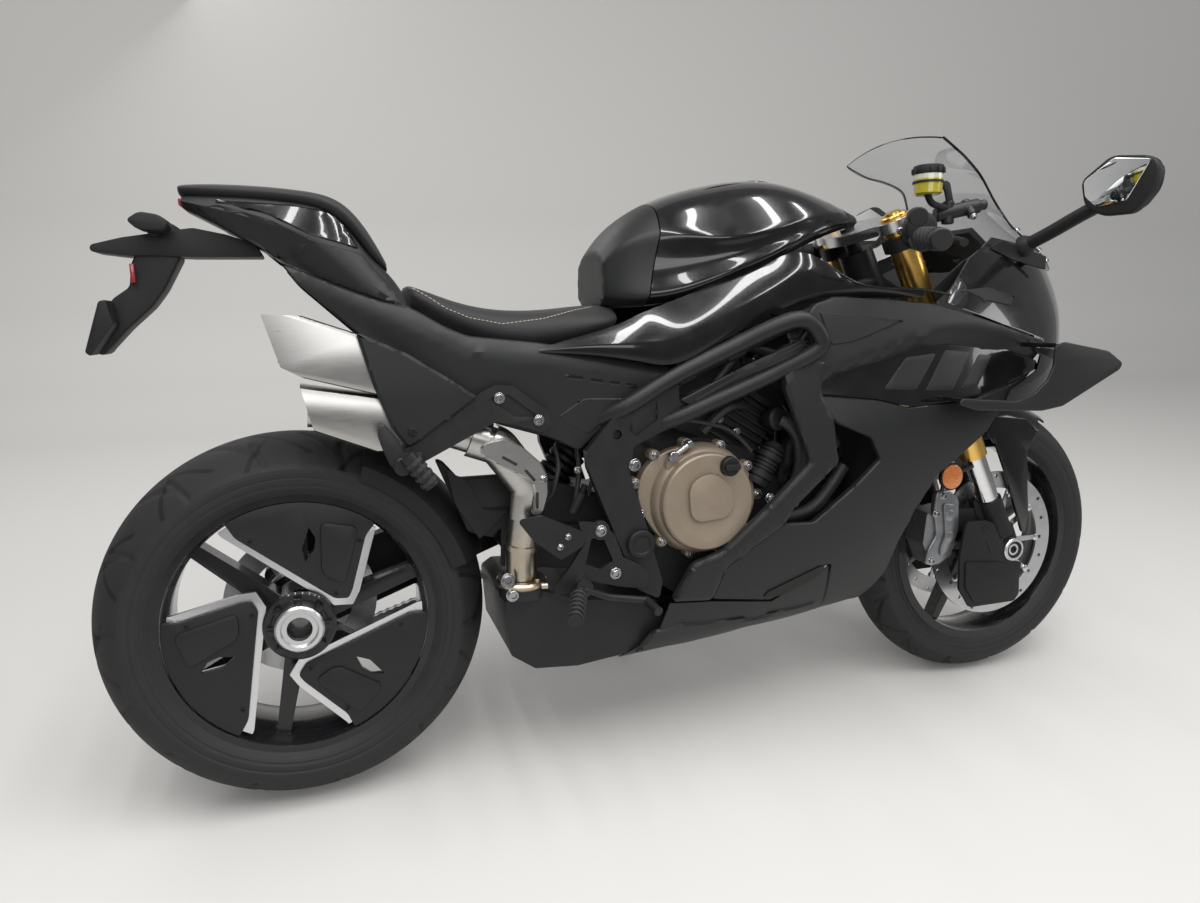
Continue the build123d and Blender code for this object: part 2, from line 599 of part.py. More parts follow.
def exhaust():
    nodes = {}
    chamber = slab([(332, 333), (338, 235), (380, 205), (457, 198), (600, 212), (636, 226), (606, 300), (470, 318),
                    (397, 343), (352, 346)], -138, 96, 10)
    chamber = chamber + rod((366, -112, 335), (366.7, -113, 352), 40)
    for y in (-62, 0, 62):
        chamber = chamber + tube([(902, y, 662), (945, y, 610), (945, y, 380), (860, y * 0.6, 262),
                                  (600, y * 0.6, 262)], 17, 45)
    nodes["silencer_box"] = solids(chamber)
    cans = []
    for outline in (UPPER_CAN, LOWER_CAN):
        can = slab(outline, *MUFFLER_Y)
        can = chamfer(can.faces().sort_by(Axis.Y)[0].edges(), 12)
        cans.append(can)
    outlet = slab([(-20, 812), (50, 806), (70, 742), (0, 752)], -150, -108, 4)
    low_outlet = slab([(20, 706), (110, 694), (110, 640), (30, 652)], -150, -108, 4)
    nodes["mufflers"] = cut(cans, outlet, low_outlet)
    pipe = tube(LINK_PATH, 27, 34)
    for start, end in (((366, -112, 352.2), (366.3, -112.6, 362)), ((368, -116, 418), (368.8, -116.8, 426))):
        pipe = pipe + rod(start, end, 37 if start[2] < 400 else 30)
    # slotted heat shield over the bend
    route = [(374.5, -123, 475), LINK_PATH[2], LINK_PATH[3], (285, -133.1, 619)]
    shield = tube(route, 33, 34) - tube(route, 30, 34)
    shield = shield & box(250, 450, -180, -140, 440, 680)
    for low, high in (((352, 560), (392, 610)), ((300, 606), (336, 640)), ((384, 492), (404, 540))):
        middle = ((low[0] + high[0]) / 2, (low[1] + high[1]) / 2)
        slot = Pos(middle[0], -160, middle[1]) * Rot(0, 40, 0) * Box(9, 60, 34)
        shield = shield - slot
    pipe = pipe + shield
    for x, z in ((388, 520), (318, 610)):
        pipe = pipe + disc(x, z, 6, -163, -140)
    nodes["link_pipe"] = cut(pipe, nodes["mufflers"], nodes["silencer_box"])
    nodes["muffler_cover"] = [slab([(114, 791), (171, 763), (236, 717), (257, 685), (233, 671), (170, 629),
                                    (142, 646), (137, 676)], -185, -163, 8)]
    return nodes


def rear_end():
    nodes = {}
    x, z = REAR_AXLE
    arm = slab([(604, 470), (604, 406), (540, 398), (380, 372), (60, 258), (-62, 262), (-62, 368), (40, 384),
                (330, 470)], 97, 131, 14)
    arm = arm - slab([(520, 448), (520, 418), (380, 396), (110, 300), (96, 350), (330, 446)], 125, 132, 8)
    # cross member in front of the tyre, with a well for the shock absorber
    cross_casting = [(345, 440), (380, 530), (440, 520), (604, 465), (604, 404), (400, 392), (345, 400)]
    casting = slab(cross_casting, -75, 97, 8)
    arm = arm + casting + box(536, 604, -128, 128, 404, 464)
    arm = arm - box(330, 490, -38, 38, 450, 560)
    arm = arm + disc(x, z, 66, 64, 131)
    # rear caliper and its bracket, on the arm above the axle
    body = [(x + 22, z + 88), (x + 92, z + 62), (x + 118, z + 96), (x + 40, z + 146), (x + 4, z + 132)]
    caliper = slab(body,
                   36, 76, 8)
    carrier = [(x + 20, z + 60), (x + 90, z + 60), (x + 92, z + 110), (x + 40, z + 116)]
    caliper = caliper + slab(carrier, 70, 97)
    caliper = caliper - disc(x, z, 136, 48, 61)
    arm = arm + caliper
    pivot_room, spindle_room = disc(*PIVOT, PIVOT_R + 0.05, -140, 150), disc(x, z, SPINDLE_R + 0.08, 50, 160)
    nodes["swingarm"] = cut(arm, pivot_room, spindle_room)
    pin = ring(*PIVOT, PIVOT_R, 9, -173, 173)
    for low, high in ((-179, -173), (173, 179)):
        pin = pin + ring(*PIVOT, 23, 9, low, high)
    nodes["swingarm_pivot"] = [pin]
    # hugger over the front of the tyre, held on the arm's inner face
    shell = revolve_about_axle(hoop_section(REAR_R + 14, 97, 262), x, z)
    shell = shell - revolve_about_axle(hoop_section(REAR_R + 11, 94, 250), x, z)
    sector = slab([(x + 100, z + 40), (x + 500, z + 130), (x + 380, z + 520), (x + 160, z + 420), (x + 110, z + 240)],
                  -120, 120)
    wing = slab([(300, 436), (352, 480), (309, 487), (282, 538), (250, 560), (262, 500)], -97, -94)
    nodes["hugger"] = cut([(shell & sector) + wing], nodes["swingarm"])
    # shock absorber: damper, spring of turned rings and an eye round the cross tube
    low, high = Vector(405, 0, 452), Vector(SHOCK_TOP[0], 0, SHOCK_TOP[1])
    plane = Plane(origin=low, x_dir=(0, 1, 0), z_dir=(high - low).normalized())
    profile = [(0, 0), (20, 0), (20, 22), (34, 22), (34, 30)]
    for i in range(8):
        profile += [(33, 34 + 14 * i), (33, 41 + 14 * i), (25, 44 + 14 * i)]
    profile += [(34, 150), (34, 160), (20, 160), (20, 190), (0, 190)]
    damper = revolve(plane * Rot(90, 0, 0) * make_face(Polyline(*profile, close=True)), Axis(low, high - low))
    damper = damper + rod((high.X, -19, high.Z), (high.X, 19, high.Z), 22)
    nodes["rear_shock"] = cut(damper, rod((high.X, -40, high.Z), (high.X, 40, high.Z), 12), nodes["swingarm"])
    return nodes


def hoop_section(radius, half, foot):
    """(y, radius) section of a fender: arched at the given radius, with feet at radius foot."""
    shoulder = radius - 42
    arc = ThreePointArc((-half, shoulder), (0, radius), (half, shoulder))
    return make_face([arc, Polyline((half, shoulder), (half, foot), (-half, foot), (-half, shoulder))])


# Rider's footrest hanger and heel plate, passenger's bracket: outlines in x and z
HANGER = [(452, 470), (492, 464), (515, 443), (530, 400), (560, 384), (578, 362), (566, 340), (520, 350),
          (470, 366), (440, 350), (406, 348), (410, 364), (434, 392), (462, 432)]
HEEL_PLATE = [(347, 484), (390, 488), (464, 451), (458, 429), (419, 409), (374, 446)]
PASSENGER_BRACKET = [(299, 692), (325, 704), (352, 701), (408, 658), (414, 635), (397, 624), (350, 639), (322, 645),
                     (189, 581), (175, 609)]


def footrests():
    face = PLATE_Y[1]
    left = slab(HANGER, face, face + 10, 3) + slab(HEEL_PLATE, face + 10, face + 14, 6)
    left = left - slab([(474, 440), (496, 436), (512, 396), (488, 384), (462, 396)], face - 1, face + 11, 4)
    # peg on its boss, pedal with its toe piece
    left = left + disc(456, 358, 15, face + 4, face + 24) + rod((452, face + 8, 354), (418, 262, 330), 12)
    left = left + tube([(456, face + 19, 356), (500, face + 19, 336), (570, face + 19, 322)], 6, 60)
    left = left + rod((568, face + 16, 321), (574, 232, 314), 8)
    left = left - disc(*PIVOT, 24, face - 1, face + 20)
    carrier = slab(PASSENGER_BRACKET, 165, 175, 4)
    carrier = carrier - slab([(310, 684), (344, 688), (394, 648), (352, 652)], 171, 176, 3)
    carrier = carrier + box(172, 202, 170, 196, 580, 608) + rod((178, 200, 606), (214, 200, 556), 13)
    return {"footrests": both(left) + both(carrier)}


# ---- bodywork ----
# outer surface of the fairing: x, then (z, half width) from bottom to top
FAIRING = [
    (440, ((180, 120), (205, 150), (260, 165), (340, 168), (800, 168), (900, 140), (1000, 120))),
    (600, ((180, 110), (215, 150), (300, 180), (400, 190), (800, 190), (900, 160), (1000, 120))),
    (800, ((200, 110), (230, 150), (330, 195), (500, 220), (800, 200), (900, 170), (1000, 120))),
    (1000, ((215, 110), (255, 150), (380, 215), (560, 250), (760, 245), (880, 190), (1000, 120))),
    (1150, ((215, 110), (300, 150), (440, 225), (600, 260), (760, 256), (880, 190), (1000, 120))),
    (1300, ((300, 110), (420, 190), (540, 235), (660, 252), (760, 243), (880, 180), (1000, 110))),
    (1450, ((420, 90), (540, 170), (620, 200), (690, 208), (780, 195), (880, 145), (1000, 80))),
    (1600, ((560, 50), (640, 95), (690, 110), (740, 120), (800, 117), (860, 88), (900, 40))),
    (1662, ((690, 15), (710, 28), (735, 40), (770, 46), (810, 44), (840, 34), (862, 15))),
]


def narrowed(rows, by):
    return [(x, tuple((z, max(width - by, 2)) for z, width in sides)) for x, sides in rows]


FAIRING_SIDE = [(866, 812), (915, 829), (1034, 826), (1131, 815), (1279, 772), (1398, 740), (1365, 700),
                (1272, 621), (1231, 572), (1135, 502), (1102, 435), (1086, 368), (1085, 300), (1054, 232),
                (1015, 204), (962, 200), (937, 344), (886, 313), (825, 279), (700, 300), (719, 361), (825, 435),
                (885, 432), (962, 497), (1006, 543), (985, 583), (917, 613), (885, 671), (875, 740)]
ARM = [(852, 792), (872, 790), (884, 668), (912, 612), (914, 575), (923, 543), (900, 521), (839, 461), (829, 437),
       (719, 361), (700, 300), (622, 307), (657, 375), (713, 394), (793, 469), (869, 546), (858, 577), (821, 681)]
BELLY = [(536, 199), (616, 190), (692, 186), (814, 181), (910, 189), (960, 198), (932, 340), (886, 311), (825, 277),
         (700, 297), (618, 304), (600, 240)]
NOSE = [(1150, 818), (1279, 776), (1400, 744), (1460, 700), (1560, 668), (1640, 690), (1670, 740), (1670, 850),
        (1560, 888), (1469, 925), (1333, 944), (1240, 900), (1169, 842)]
HEADLAMP = [(1500, 700), (1640, 730), (1668, 752), (1668, 772), (1560, 752), (1490, 725)]
TANK = [
    (543, ((824, 60), (845, 84), (890, 76), (918, 40))),
    (575, ((818, 90), (850, 112), (910, 100), (958, 40))),
    (650, ((824, 118), (870, 140), (955, 125), (1006, 50))),
    (740, ((858, 140), (905, 158), (985, 140), (1032, 55))),
    (840, ((896, 148), (940, 165), (1005, 145), (1049, 60))),
    (915, ((930, 140), (960, 160), (1005, 138), (1039, 60))),
    (1000, ((958, 110), (975, 130), (996, 105), (1012, 50))),
    (1040, ((965, 88), (975, 95), (985, 80), (991, 40))),
]
# windscreen: x, half width, height at the edge, height in the middle
SCREEN = [(1192, 165, 1118, 1144), (1244, 169, 1078, 1112), (1340, 172, 966, 1034), (1450, 142, 912, 960),
          (1552, 62, 884, 893)]
STAND_SLOT = (572, 676, 60, 300, 150, 335)


def bodywork():
    nodes = {}
    outer = hull_loft(FAIRING)
    inner = hull_loft(narrowed(FAIRING, SHELL_T))
    shell = outer - inner
    nodes["side_fairings"] = both(shell & slab(FAIRING_SIDE, 60, 300))
    arm_shell = hull_loft(narrowed(FAIRING, -3)) - outer
    nodes["fairing_arms"] = both(arm_shell & slab(ARM, 60, 300))
    nodes["belly_pan"] = cut(shell & slab(BELLY, -300, 300), box(*STAND_SLOT))
    tank = hull_loft(TANK)
    front_cover = slab([(985, 900), (1015, 1030), (1060, 1030), (1060, 900)], -200, 200)
    rear_cover = slab([(500, 800), (600, 800), (648, 1030), (500, 1030)], -200, 200)
    cap = Pos(880, 0, 1046) * Rot(0, 7, 0) * Cylinder(40, 10)
    nodes["fuel_tank"] = cut(tank, front_cover, rear_cover, cap)
    nodes["tank_covers"] = solids(cut(tank & front_cover, cap), cut(tank & rear_cover, cap), cap)
    nodes["tank_side_panels"] = both(strip_loft([
        (427, 762, 168, 766, 160), (520, 742, 184, 816, 146), (629, 719, 188, 818, 150), (718, 762, 186, 851, 155),
        (817, 806, 184, 890, 160), (880, 830, 182, 920, 168), (925, 831, 183, 894, 172), (953, 832, 184, 866, 187),
        (985, 830, 190, 848, 198), (1059, 828, 200, 842, 205), (1110, 826, 206, 842, 206)], SHELL_T))
    nodes["rider_seat"] = solids(hull_loft([
        (214, ((826, 70), (846, 92), (868, 66))),
        (262, ((790, 100), (812, 118), (838, 96))),
        (310, ((766, 118), (794, 132), (825, 105))),
        (395, ((755, 125), (790, 136), (820, 108))),
        (480, ((772, 100), (800, 112), (823, 86))),
        (540, ((796, 66), (815, 74), (831, 56))),
    ]))
    nodes["passenger_seat"] = solids(hull_loft([
        (-122, ((1004, 30), (1012, 42), (1019, 30))),
        (-48, ((1003, 56), (1012, 66), (1021, 50))),
        (30, ((994, 78), (1004, 88), (1013, 68))),
        (92, ((984, 88), (994, 98), (1002, 76))),
        (122, ((952, 92), (968, 100), (982, 80))),
        (150, ((906, 92), (930, 98), (950, 78))),
        (176, ((884, 84), (890, 90), (896, 76))),
    ]))
    tail = hull_loft([
        (-120, ((985, 30), (994, 44), (1003, 34))),
        (-50, ((948, 60), (975, 78), (1002, 60))),
        (30, ((900, 92), (950, 104), (993, 82))),
        (90, ((850, 104), (920, 116), (983, 92))),
        (122, ((826, 108), (890, 120), (950, 96))),
        (150, ((818, 112), (860, 122), (905, 96))),
        (180, ((815, 116), (840, 124), (883, 88))),
        (212, ((812, 118), (820, 122), (825, 90))),
    ])
    lamp = box(-140, -112, -32, 32, 986, 1001)
    nodes["tail_cowl"] = cut(tail, nodes["rider_seat"], nodes["passenger_seat"], lamp)
    nodes["tail_side_panels"] = both(slab([(218, 822), (250, 790), (280, 772), (395, 750), (425, 742), (520, 722),
                                           (600, 700), (551, 668), (499, 628), (458, 592), (419, 609), (324, 644),
                                           (286, 640), (262, 690), (262, 730)], 155, 165, 4))
    screens = []
    for shrink in (0, 4):
        faces = []
        for x, width, z_side, z_top in SCREEN:
            arc = ThreePointArc((-width, z_side - shrink), (0, z_top - shrink), (width, z_side - shrink))
            face = make_face([arc, Line((width, z_side - shrink), (-width, z_side - shrink))])
            faces.append(Plane.YZ.offset(x) * face)
        screens.append(loft(faces, ruled=True))
    nodes["windscreen"] = cut(screens[0], screens[1])
    lamps = both(shell & slab(HEADLAMP, 22, 140))
    nodes["headlamps"] = lamps
    nodes["nose_fairing"] = cut(shell & slab(NOSE, -300, 300), screens[0], lamps)
    # instrument panel on its bracket, and the inner cheeks of the cockpit
    dash = Pos(1352, 0, 926) * Rot(0, -52, 0) * Box(12, 190, 112)
    stay = rod((1362, 0, 915), (1440, 0, 880), 12)
    cheek = slab([(1170, 842), (1240, 896), (1330, 934), (1440, 905), (1440, 880), (1330, 905), (1240, 868),
                  (1180, 820)], 150, 156)
    cross = rod((1400, -153, 897), (1400, 153, 897), 8)
    nodes["cockpit_panels"] = cut(dash + stay + cross + cheek + mirrored(cheek), screens[0], nodes["nose_fairing"])
    blade = slab([(1286, 740), (1419, 727), (1446, 704), (1277, 629), (1111, 652), (1180, 668)], 300, 306)
    top_arm = slab([(1290, 739), (1412, 727), (1412, 721), (1290, 733)], 200, 300)
    low_arm = slab([(1135, 650), (1270, 633), (1270, 639), (1140, 656)], 200, 300)
    nodes["winglets"] = both(cut(blade + top_arm + low_arm, outer))
    nodes.update(mirrors())
    nodes.update(tail_piece())
    nodes["tail_lamp"] = solids(lamp, both(box(-208, -196, 50, 54, 873, 903)))
    nodes["plate_hanger"] = cut(nodes["plate_hanger"], nodes["tail_cowl"])
    return nodes


MIRROR = (1398.0, 362.0, 1012.0)    # middle of the left mirror housing
MIRROR_TURN = 12.0                  # turn of the mirror about X
# outline of the mirror about its middle, across the bike and up
MIRROR_SHAPE = [(-60, -12), (-40, -34), (30, -38), (58, -14), (64, 30), (52, 40), (-50, 30), (-64, 6)]


def mirrors():
    x, y, z = MIRROR
    shape = Polygon(*MIRROR_SHAPE, align=None)
    turn = Plane(origin=MIRROR, x_dir=(0, 1, 0), z_dir=(-1, 0, 0)) * Rot(0, 0, -MIRROR_TURN)
    body = extrude(turn * shape, 10) + extrude(turn * shape, -14, taper=30)
    stalk = tube([(1384, 176, 930), (1402, 250, 962), (1404, 330, 992)], 10, 60)
    glass = extrude(Plane(origin=(x - 10, y, z), x_dir=(0, 1, 0), z_dir=(-1, 0, 0)) * Rot(0, 0, -MIRROR_TURN)
                    * scale(shape, by=0.92), 2)
    return {"mirrors": both(body + stalk), "mirror_glass": both(glass)}


def tail_piece():
    """Beam under the tail that carries the plate hanger and the side reflectors."""
    beam = slab([(-250, 932), (-207, 941), (-148, 948), (-108, 954), (-60, 944), (-30, 930), (-30, 914),
                 (-112, 912), (-161, 916), (-206, 916), (-250, 922)], -26, 26)
    block = slab([(-204, 974), (-180, 978), (-146, 968), (-144, 940), (-176, 936), (-202, 948)], -34, 34, 3)
    plate = slab([(-187, 934), (-137, 930), (-135, 913), (-182, 828), (-216, 806), (-258, 762), (-263, 770),
                  (-230, 856), (-206, 871)], -20, 20)
    holder = slab([(-216, 806), (-258, 762), (-263, 770), (-232, 850), (-224, 852)], -70, 70)
    bar = box(-206, -198, -50, 50, 873, 903)
    return {"plate_hanger": solids(beam + block + plate + holder + bar)}


STAND_PIVOT = (612.0, 168.0, 246.0)
STAND_AXIS = (-0.236, 0.960, 0.146)     # tilted so that the folded leg tucks in
STAND_FOOT = (655.0, 282.0)             # x and y of the foot on the ground


def side_stand():
    """Stand leg, modelled where it rests with the bike leant over."""
    nodes = {}
    foot_x, foot_y = STAND_FOOT
    ground = foot_y * math.tan(math.radians(LEAN))
    pivot, axis = Vector(*STAND_PIVOT), Vector(*STAND_AXIS).normalized()
    ankle = Vector(foot_x, foot_y - 4, ground + 10)
    leg = rod(tuple(pivot + (ankle - pivot).normalized() * 15), tuple(ankle), 10)
    eye = rod(tuple(pivot - axis * 6), tuple(pivot + axis * 8), 18)
    foot = Pos(foot_x, foot_y, ground + 4) * Rot(LEAN, 0, 0) * Box(76, 44, 6)
    nodes["side_stand"] = solids(leg + eye + foot)
    return nodes


def stand_bracket():
    """Lug that carries the side stand, on the lower end of the left pivot plate."""
    pivot, axis = Vector(*STAND_PIVOT), Vector(*STAND_AXIS).normalized()
    lug = rod(tuple(pivot - axis * 22), tuple(pivot - axis * 6.4), 20)
    arm = slab([(566, 352), (596, 334), (640, 300), (640, 270), (586, 270)], 142, 160)
    neck = slab([(588, 282), (636, 282), (636, 234), (592, 234)], 144, 155)
    return lug + arm + neck


# ---- build, lean over and write ----
def build():
    nodes = {}
    for section in (rear_wheel, front_wheel, steering, frame, engine, drive_chain, exhaust, rear_end, footrests,
                    bodywork, side_stand):
        for name, shapes in section().items():
            nodes[name] = solids(shapes)
    return nodes


def lean_over(nodes):
    """Lean every node, then put the lowest point at z = 0 and the box's middle at x = y = 0."""
    turned = {name: Compound(children=[Rot(-LEAN, 0, 0) * s for s in shapes]) for name, shapes in nodes.items()}
    size = Compound(children=[copy_of(t) for t in turned.values()]).bounding_box()
    shift = (-(size.min.X + size.max.X) / 2, -(size.min.Y + size.max.Y) / 2, -size.min.Z)
    print("placed by", [round(v, 4) for v in shift])
    return {name: Pos(*shift) * shape for name, shape in turned.items()}


def copy_of(shape):
    return Compound(shape.solids())


def main():
    os.makedirs("parts", exist_ok=True)
    for name, shape in lean_over(build()).items():
        export_step(shape, f"parts/{name}.step")


main()
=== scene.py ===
"""Looks of the sport bike: materials on the frame's nodes, smooth bodywork, trim, light and camera."""
import json
import math

import bmesh
import bpy
from mathutils import Matrix, Vector
from mathutils.bvhtree import BVHTree


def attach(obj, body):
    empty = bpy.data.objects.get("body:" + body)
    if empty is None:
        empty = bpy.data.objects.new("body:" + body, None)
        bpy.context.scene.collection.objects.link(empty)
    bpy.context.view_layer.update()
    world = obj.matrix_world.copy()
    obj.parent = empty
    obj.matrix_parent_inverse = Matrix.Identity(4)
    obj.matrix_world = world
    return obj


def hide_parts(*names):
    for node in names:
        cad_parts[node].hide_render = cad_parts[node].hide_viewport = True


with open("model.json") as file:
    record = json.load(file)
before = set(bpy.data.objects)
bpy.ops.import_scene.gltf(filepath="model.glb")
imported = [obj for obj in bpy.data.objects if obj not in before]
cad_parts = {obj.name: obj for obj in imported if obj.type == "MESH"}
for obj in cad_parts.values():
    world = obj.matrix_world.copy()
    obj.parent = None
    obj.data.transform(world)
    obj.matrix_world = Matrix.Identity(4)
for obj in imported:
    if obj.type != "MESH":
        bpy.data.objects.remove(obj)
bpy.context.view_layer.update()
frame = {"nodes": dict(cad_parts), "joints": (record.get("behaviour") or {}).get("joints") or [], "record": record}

# ---- the bike's own upright frame, in millimetres, and the way from it to the row frame ----
# Upright: origin on the ground under the rear axle, +X forward, +Y to the rider's left, +Z up.
REAR_AXLE = Vector((0, 0, 315))
FRONT_AXLE = Vector((1427, 0, 300))
LEFT, RIGHT, UP = (0, 1, 0), (0, -1, 0), (0, 0, 1)
RAKE = math.radians(24.5)
STEERING_FOOT = 1528.0    # x at which the steering axis meets the ground
REAR_R, REAR_HALF = 315.0, 90.0
FRONT_R, FRONT_HALF = 300.0, 60.0
CLUTCH = (690.0, 482.0)
BODY_OF = {node: body for body, nodes in frame["record"]["behaviour"]["bodies"].items() for node in nodes}


def placement():
    """Matrix from upright millimetres to row metres, read from the rear wheel's joint."""
    spin = next(joint for joint in frame["joints"] if joint["name"] == "rear_wheel_spin")
    lean = math.atan2(-spin["axis"][2], spin["axis"][1])
    turn = Matrix.Rotation(-lean, 4, "X")
    to_axle = Matrix.Translation(-REAR_AXLE / 1000)
    return Matrix.Translation(spin["pos_m"]) @ turn @ to_axle @ Matrix.Scale(0.001, 4)


TO_ROW = placement()


def fork_x(z):
    """X of a fork leg's centre line at height z."""
    return FRONT_AXLE.x + (FRONT_AXLE.z - z) * math.tan(RAKE)


# ---- shader building ----
class Value:
    """A number in a shader; Python's operators on it add Math nodes."""

    def __init__(self, finish, socket):
        self.finish = finish
        self.socket = socket

    def math(self, operation, other=0.0, clamp=False):
        settings = {"operation": operation, "use_clamp": clamp}
        node = self.finish.node("ShaderNodeMath", settings, {0: self, 1: other})
        return Value(self.finish, node.outputs[0])

    def __add__(self, other):
        return self.math("ADD", other)

    def __sub__(self, other):
        return self.math("SUBTRACT", other)

    def __rsub__(self, other):
        return self * -1.0 + other

    def __mul__(self, other):
        return self.math("MULTIPLY", other)

    def __truediv__(self, other):
        return self.math("DIVIDE", other)

    __radd__, __rmul__ = __add__, __mul__

    def below(self, other):
        return self.math("LESS_THAN", other)

    def between(self, low, high):
        return self.math("GREATER_THAN", low) * self.below(high)

    def ramp(self, low, high):
        """0 at low, 1 at high, straight between."""
        return ((self - low) / (high - low)).math("ADD", 0.0, clamp=True)


class Finish:
    """One material. Every node goes in through node()."""

    def __init__(self, name, **constants):
        self.material = bpy.data.materials.new(name)
        self.material.use_nodes = True
        self.tree = self.material.node_tree
        self.tree.nodes.clear()
        self.surface = self.node("ShaderNodeBsdfPrincipled")
        out = self.node("ShaderNodeOutputMaterial")
        self.tree.links.new(self.surface.outputs[0], out.inputs[0])
        for key, value in constants.items():
            self.set(key.replace("_", " "), value)

    def node(self, kind, settings=None, inputs=None):
        node = self.tree.nodes.new(kind)
        for key, value in (settings or {}).items():
            setattr(node, key, value)
        for key, value in (inputs or {}).items():
            self.plug(node.inputs[key], value)
        return node

    def plug(self, socket, value):
        if isinstance(value, Value):
            value = value.socket
        if isinstance(value, bpy.types.NodeSocket):
            self.tree.links.new(value, socket)
        elif socket.type == "RGBA" and len(value) == 3:
            socket.default_value = (*value, 1)
        else:
            socket.default_value = value

    def set(self, name, value):
        self.plug(self.surface.inputs[name.title().replace("Ior", "IOR")], value)

    # patterns, all in the bike's upright frame, in millimetres
    def place(self):
        """The point's upright coordinates as a vector socket."""
        if not hasattr(self, "_place"):
            coords = self.node("ShaderNodeTexCoord")
            back = TO_ROW.inverted()
            inputs = {"Vector": coords.outputs["Object"], "Location": back.to_translation(),
                      "Rotation": back.to_euler(), "Scale": (1000, 1000, 1000)}
            self._place = self.node("ShaderNodeMapping", None, inputs).outputs[0]
        return self._place

    def axes(self):
        """The point's upright x, y and z as Values."""
        split = self.node("ShaderNodeSeparateXYZ", None, {0: self.place()})
        return [Value(self, split.outputs[i]) for i in range(3)]

    def scaled(self, scale):
        return self.node("ShaderNodeMapping", None, {"Vector": self.place(), "Scale": scale}).outputs[0]

    def noise(self, size, detail=3, stretch=(1, 1, 1)):
        """Noise of about 0 to 1 whose blobs are size millimetres wide."""
        made = self.node("ShaderNodeTexNoise", None, {"Vector": self.scaled([1 / (size * s)
                                                                             for s in stretch]),
                                                      "Scale": 1.0, "Detail": detail})
        return Value(self, made.outputs["Fac"])

    def cells(self, size, feature="F1"):
        """Distance in a cell pattern whose cells are size millimetres wide."""
        made = self.node("ShaderNodeTexVoronoi", {"feature": feature},
                         {"Vector": self.scaled([1 / size] * 3), "Scale": 1.0})
        return Value(self, made.outputs["Distance"])

    def around(self, axle):
        """Radius from an axle line across the bike and the turn about it, in radians."""
        x, _, z = self.axes()
        dx, dz = x - axle[0], z - axle[-1]
        radius = (dx * dx + dz * dz).math("SQRT")
        return radius, dz.math("ARCTAN2", dx)

    def blend(self, mask, first, second):
        """Colour that goes from first to second as the mask goes from 0 to 1."""
        made = self.node("ShaderNodeMix", {"data_type": "RGBA"}, {"Factor": mask, "A": first, "B": second})
        return made.outputs["Result"]

    def relief(self, height, strength, distance=0.001):
        """Bump from a height of 0 to 1."""
        inputs = {"Height": height, "Strength": strength, "Distance": distance}
        if hasattr(self, "_bump"):
            inputs["Normal"] = self._bump
        self._bump = self.node("ShaderNodeBump", None, inputs).outputs[0]
        self.set("normal", self._bump)


def matte_paint():
    f = Finish("matte_paint", specular_ior_level=0.32)
    fleck = f.cells(0.9).ramp(0.12, 0.3)
    f.set("base color", f.blend(fleck, (0.021, 0.0215, 0.023), (0.0115, 0.0118, 0.0125)))
    f.set("roughness", 0.38 + 0.10 * f.noise(60))
    f.relief(f.noise(1.6, 2), 0.10, 0.0002)
    return f.material


def gloss_paint():
    f = Finish("gloss_paint", coat_weight=1.0, coat_roughness=0.03, coat_ior=1.36, specular_ior_level=0.25)
    haze = f.noise(35, 4).ramp(0.35, 0.9)
    f.set("base color", f.blend(haze, (0.0045, 0.0045, 0.005), (0.0075, 0.0075, 0.008)))
    f.set("roughness", 0.16 + 0.10 * haze)
    f.relief(f.noise(14, 2), 0.004, 0.0004)
    return f.material


def cast_alloy():
    f = Finish("cast_alloy", metallic=0.45, specular_ior_level=0.35)
    grain = f.noise(1.8, 4)
    f.set("base color", f.blend(f.noise(22), (0.010, 0.010, 0.011), (0.024, 0.024, 0.026)))
    f.set("roughness", 0.42 + 0.2 * grain)
    f.relief(grain, 0.35, 0.0005)
    return f.material


def bronze_coat():
    f = Finish("bronze_coat", metallic=0.45)
    grain = f.cells(1.0).ramp(0.1, 0.5)
    low = f.blend(grain, (0.30, 0.245, 0.185), (0.225, 0.18, 0.135))
    f.set("base color", f.blend(f.noise(28).ramp(0.4, 0.8), low, (0.26, 0.21, 0.16)))
    f.set("roughness", 0.36 + 0.12 * grain)
    f.relief(f.noise(1.4), 0.2, 0.0004)
    return f.material


def machined_alloy():
    f = Finish("machined_alloy", metallic=1.0)
    lines = f.noise(0.8, 3, stretch=(1, 12, 1))
    f.set("base color", f.blend(lines, (0.62, 0.62, 0.63), (0.78, 0.78, 0.79)))
    f.set("roughness", 0.22 + 0.16 * lines)
    f.relief(lines, 0.06, 0.0002)
    return f.material


def turned_steel(name, axle):
    """Ground disc: fine rings about an axle."""
    f = Finish(name, metallic=1.0)
    radius = f.around(axle)[0]
    rings = (radius * 5.0 + f.noise(2, 2) * 2.0).math("SINE") * 0.5 + 0.5
    cloud = f.noise(20)
    f.set("base color", f.blend(cloud, (0.50, 0.50, 0.51), (0.66, 0.66, 0.67)))
    f.set("roughness", 0.24 + 0.1 * rings + 0.08 * cloud)
    f.relief(rings, 0.1, 0.0002)
    return f.material


def stainless(name, heat_colour=0.0):
    """Brushed stainless steel; heat_colour is how straw-coloured it is low down on the pipe."""
    f = Finish(name, metallic=1.0)
    streaks = f.noise(1.2, 4, stretch=(30, 1, 1))
    cloud = f.noise(45)
    clean = f.blend(streaks, (0.40, 0.39, 0.375), (0.52, 0.51, 0.495))
    heat = (1.0 - f.axes()[2].ramp(330, 560)) * cloud.ramp(0.3, 0.6) * heat_colour
    f.set("base color", f.blend(heat, clean, (0.55, 0.42, 0.26)))
    f.set("roughness", 0.2 + 0.14 * streaks + 0.06 * cloud)
    f.relief(streaks, 0.06, 0.0002)
    return f.material


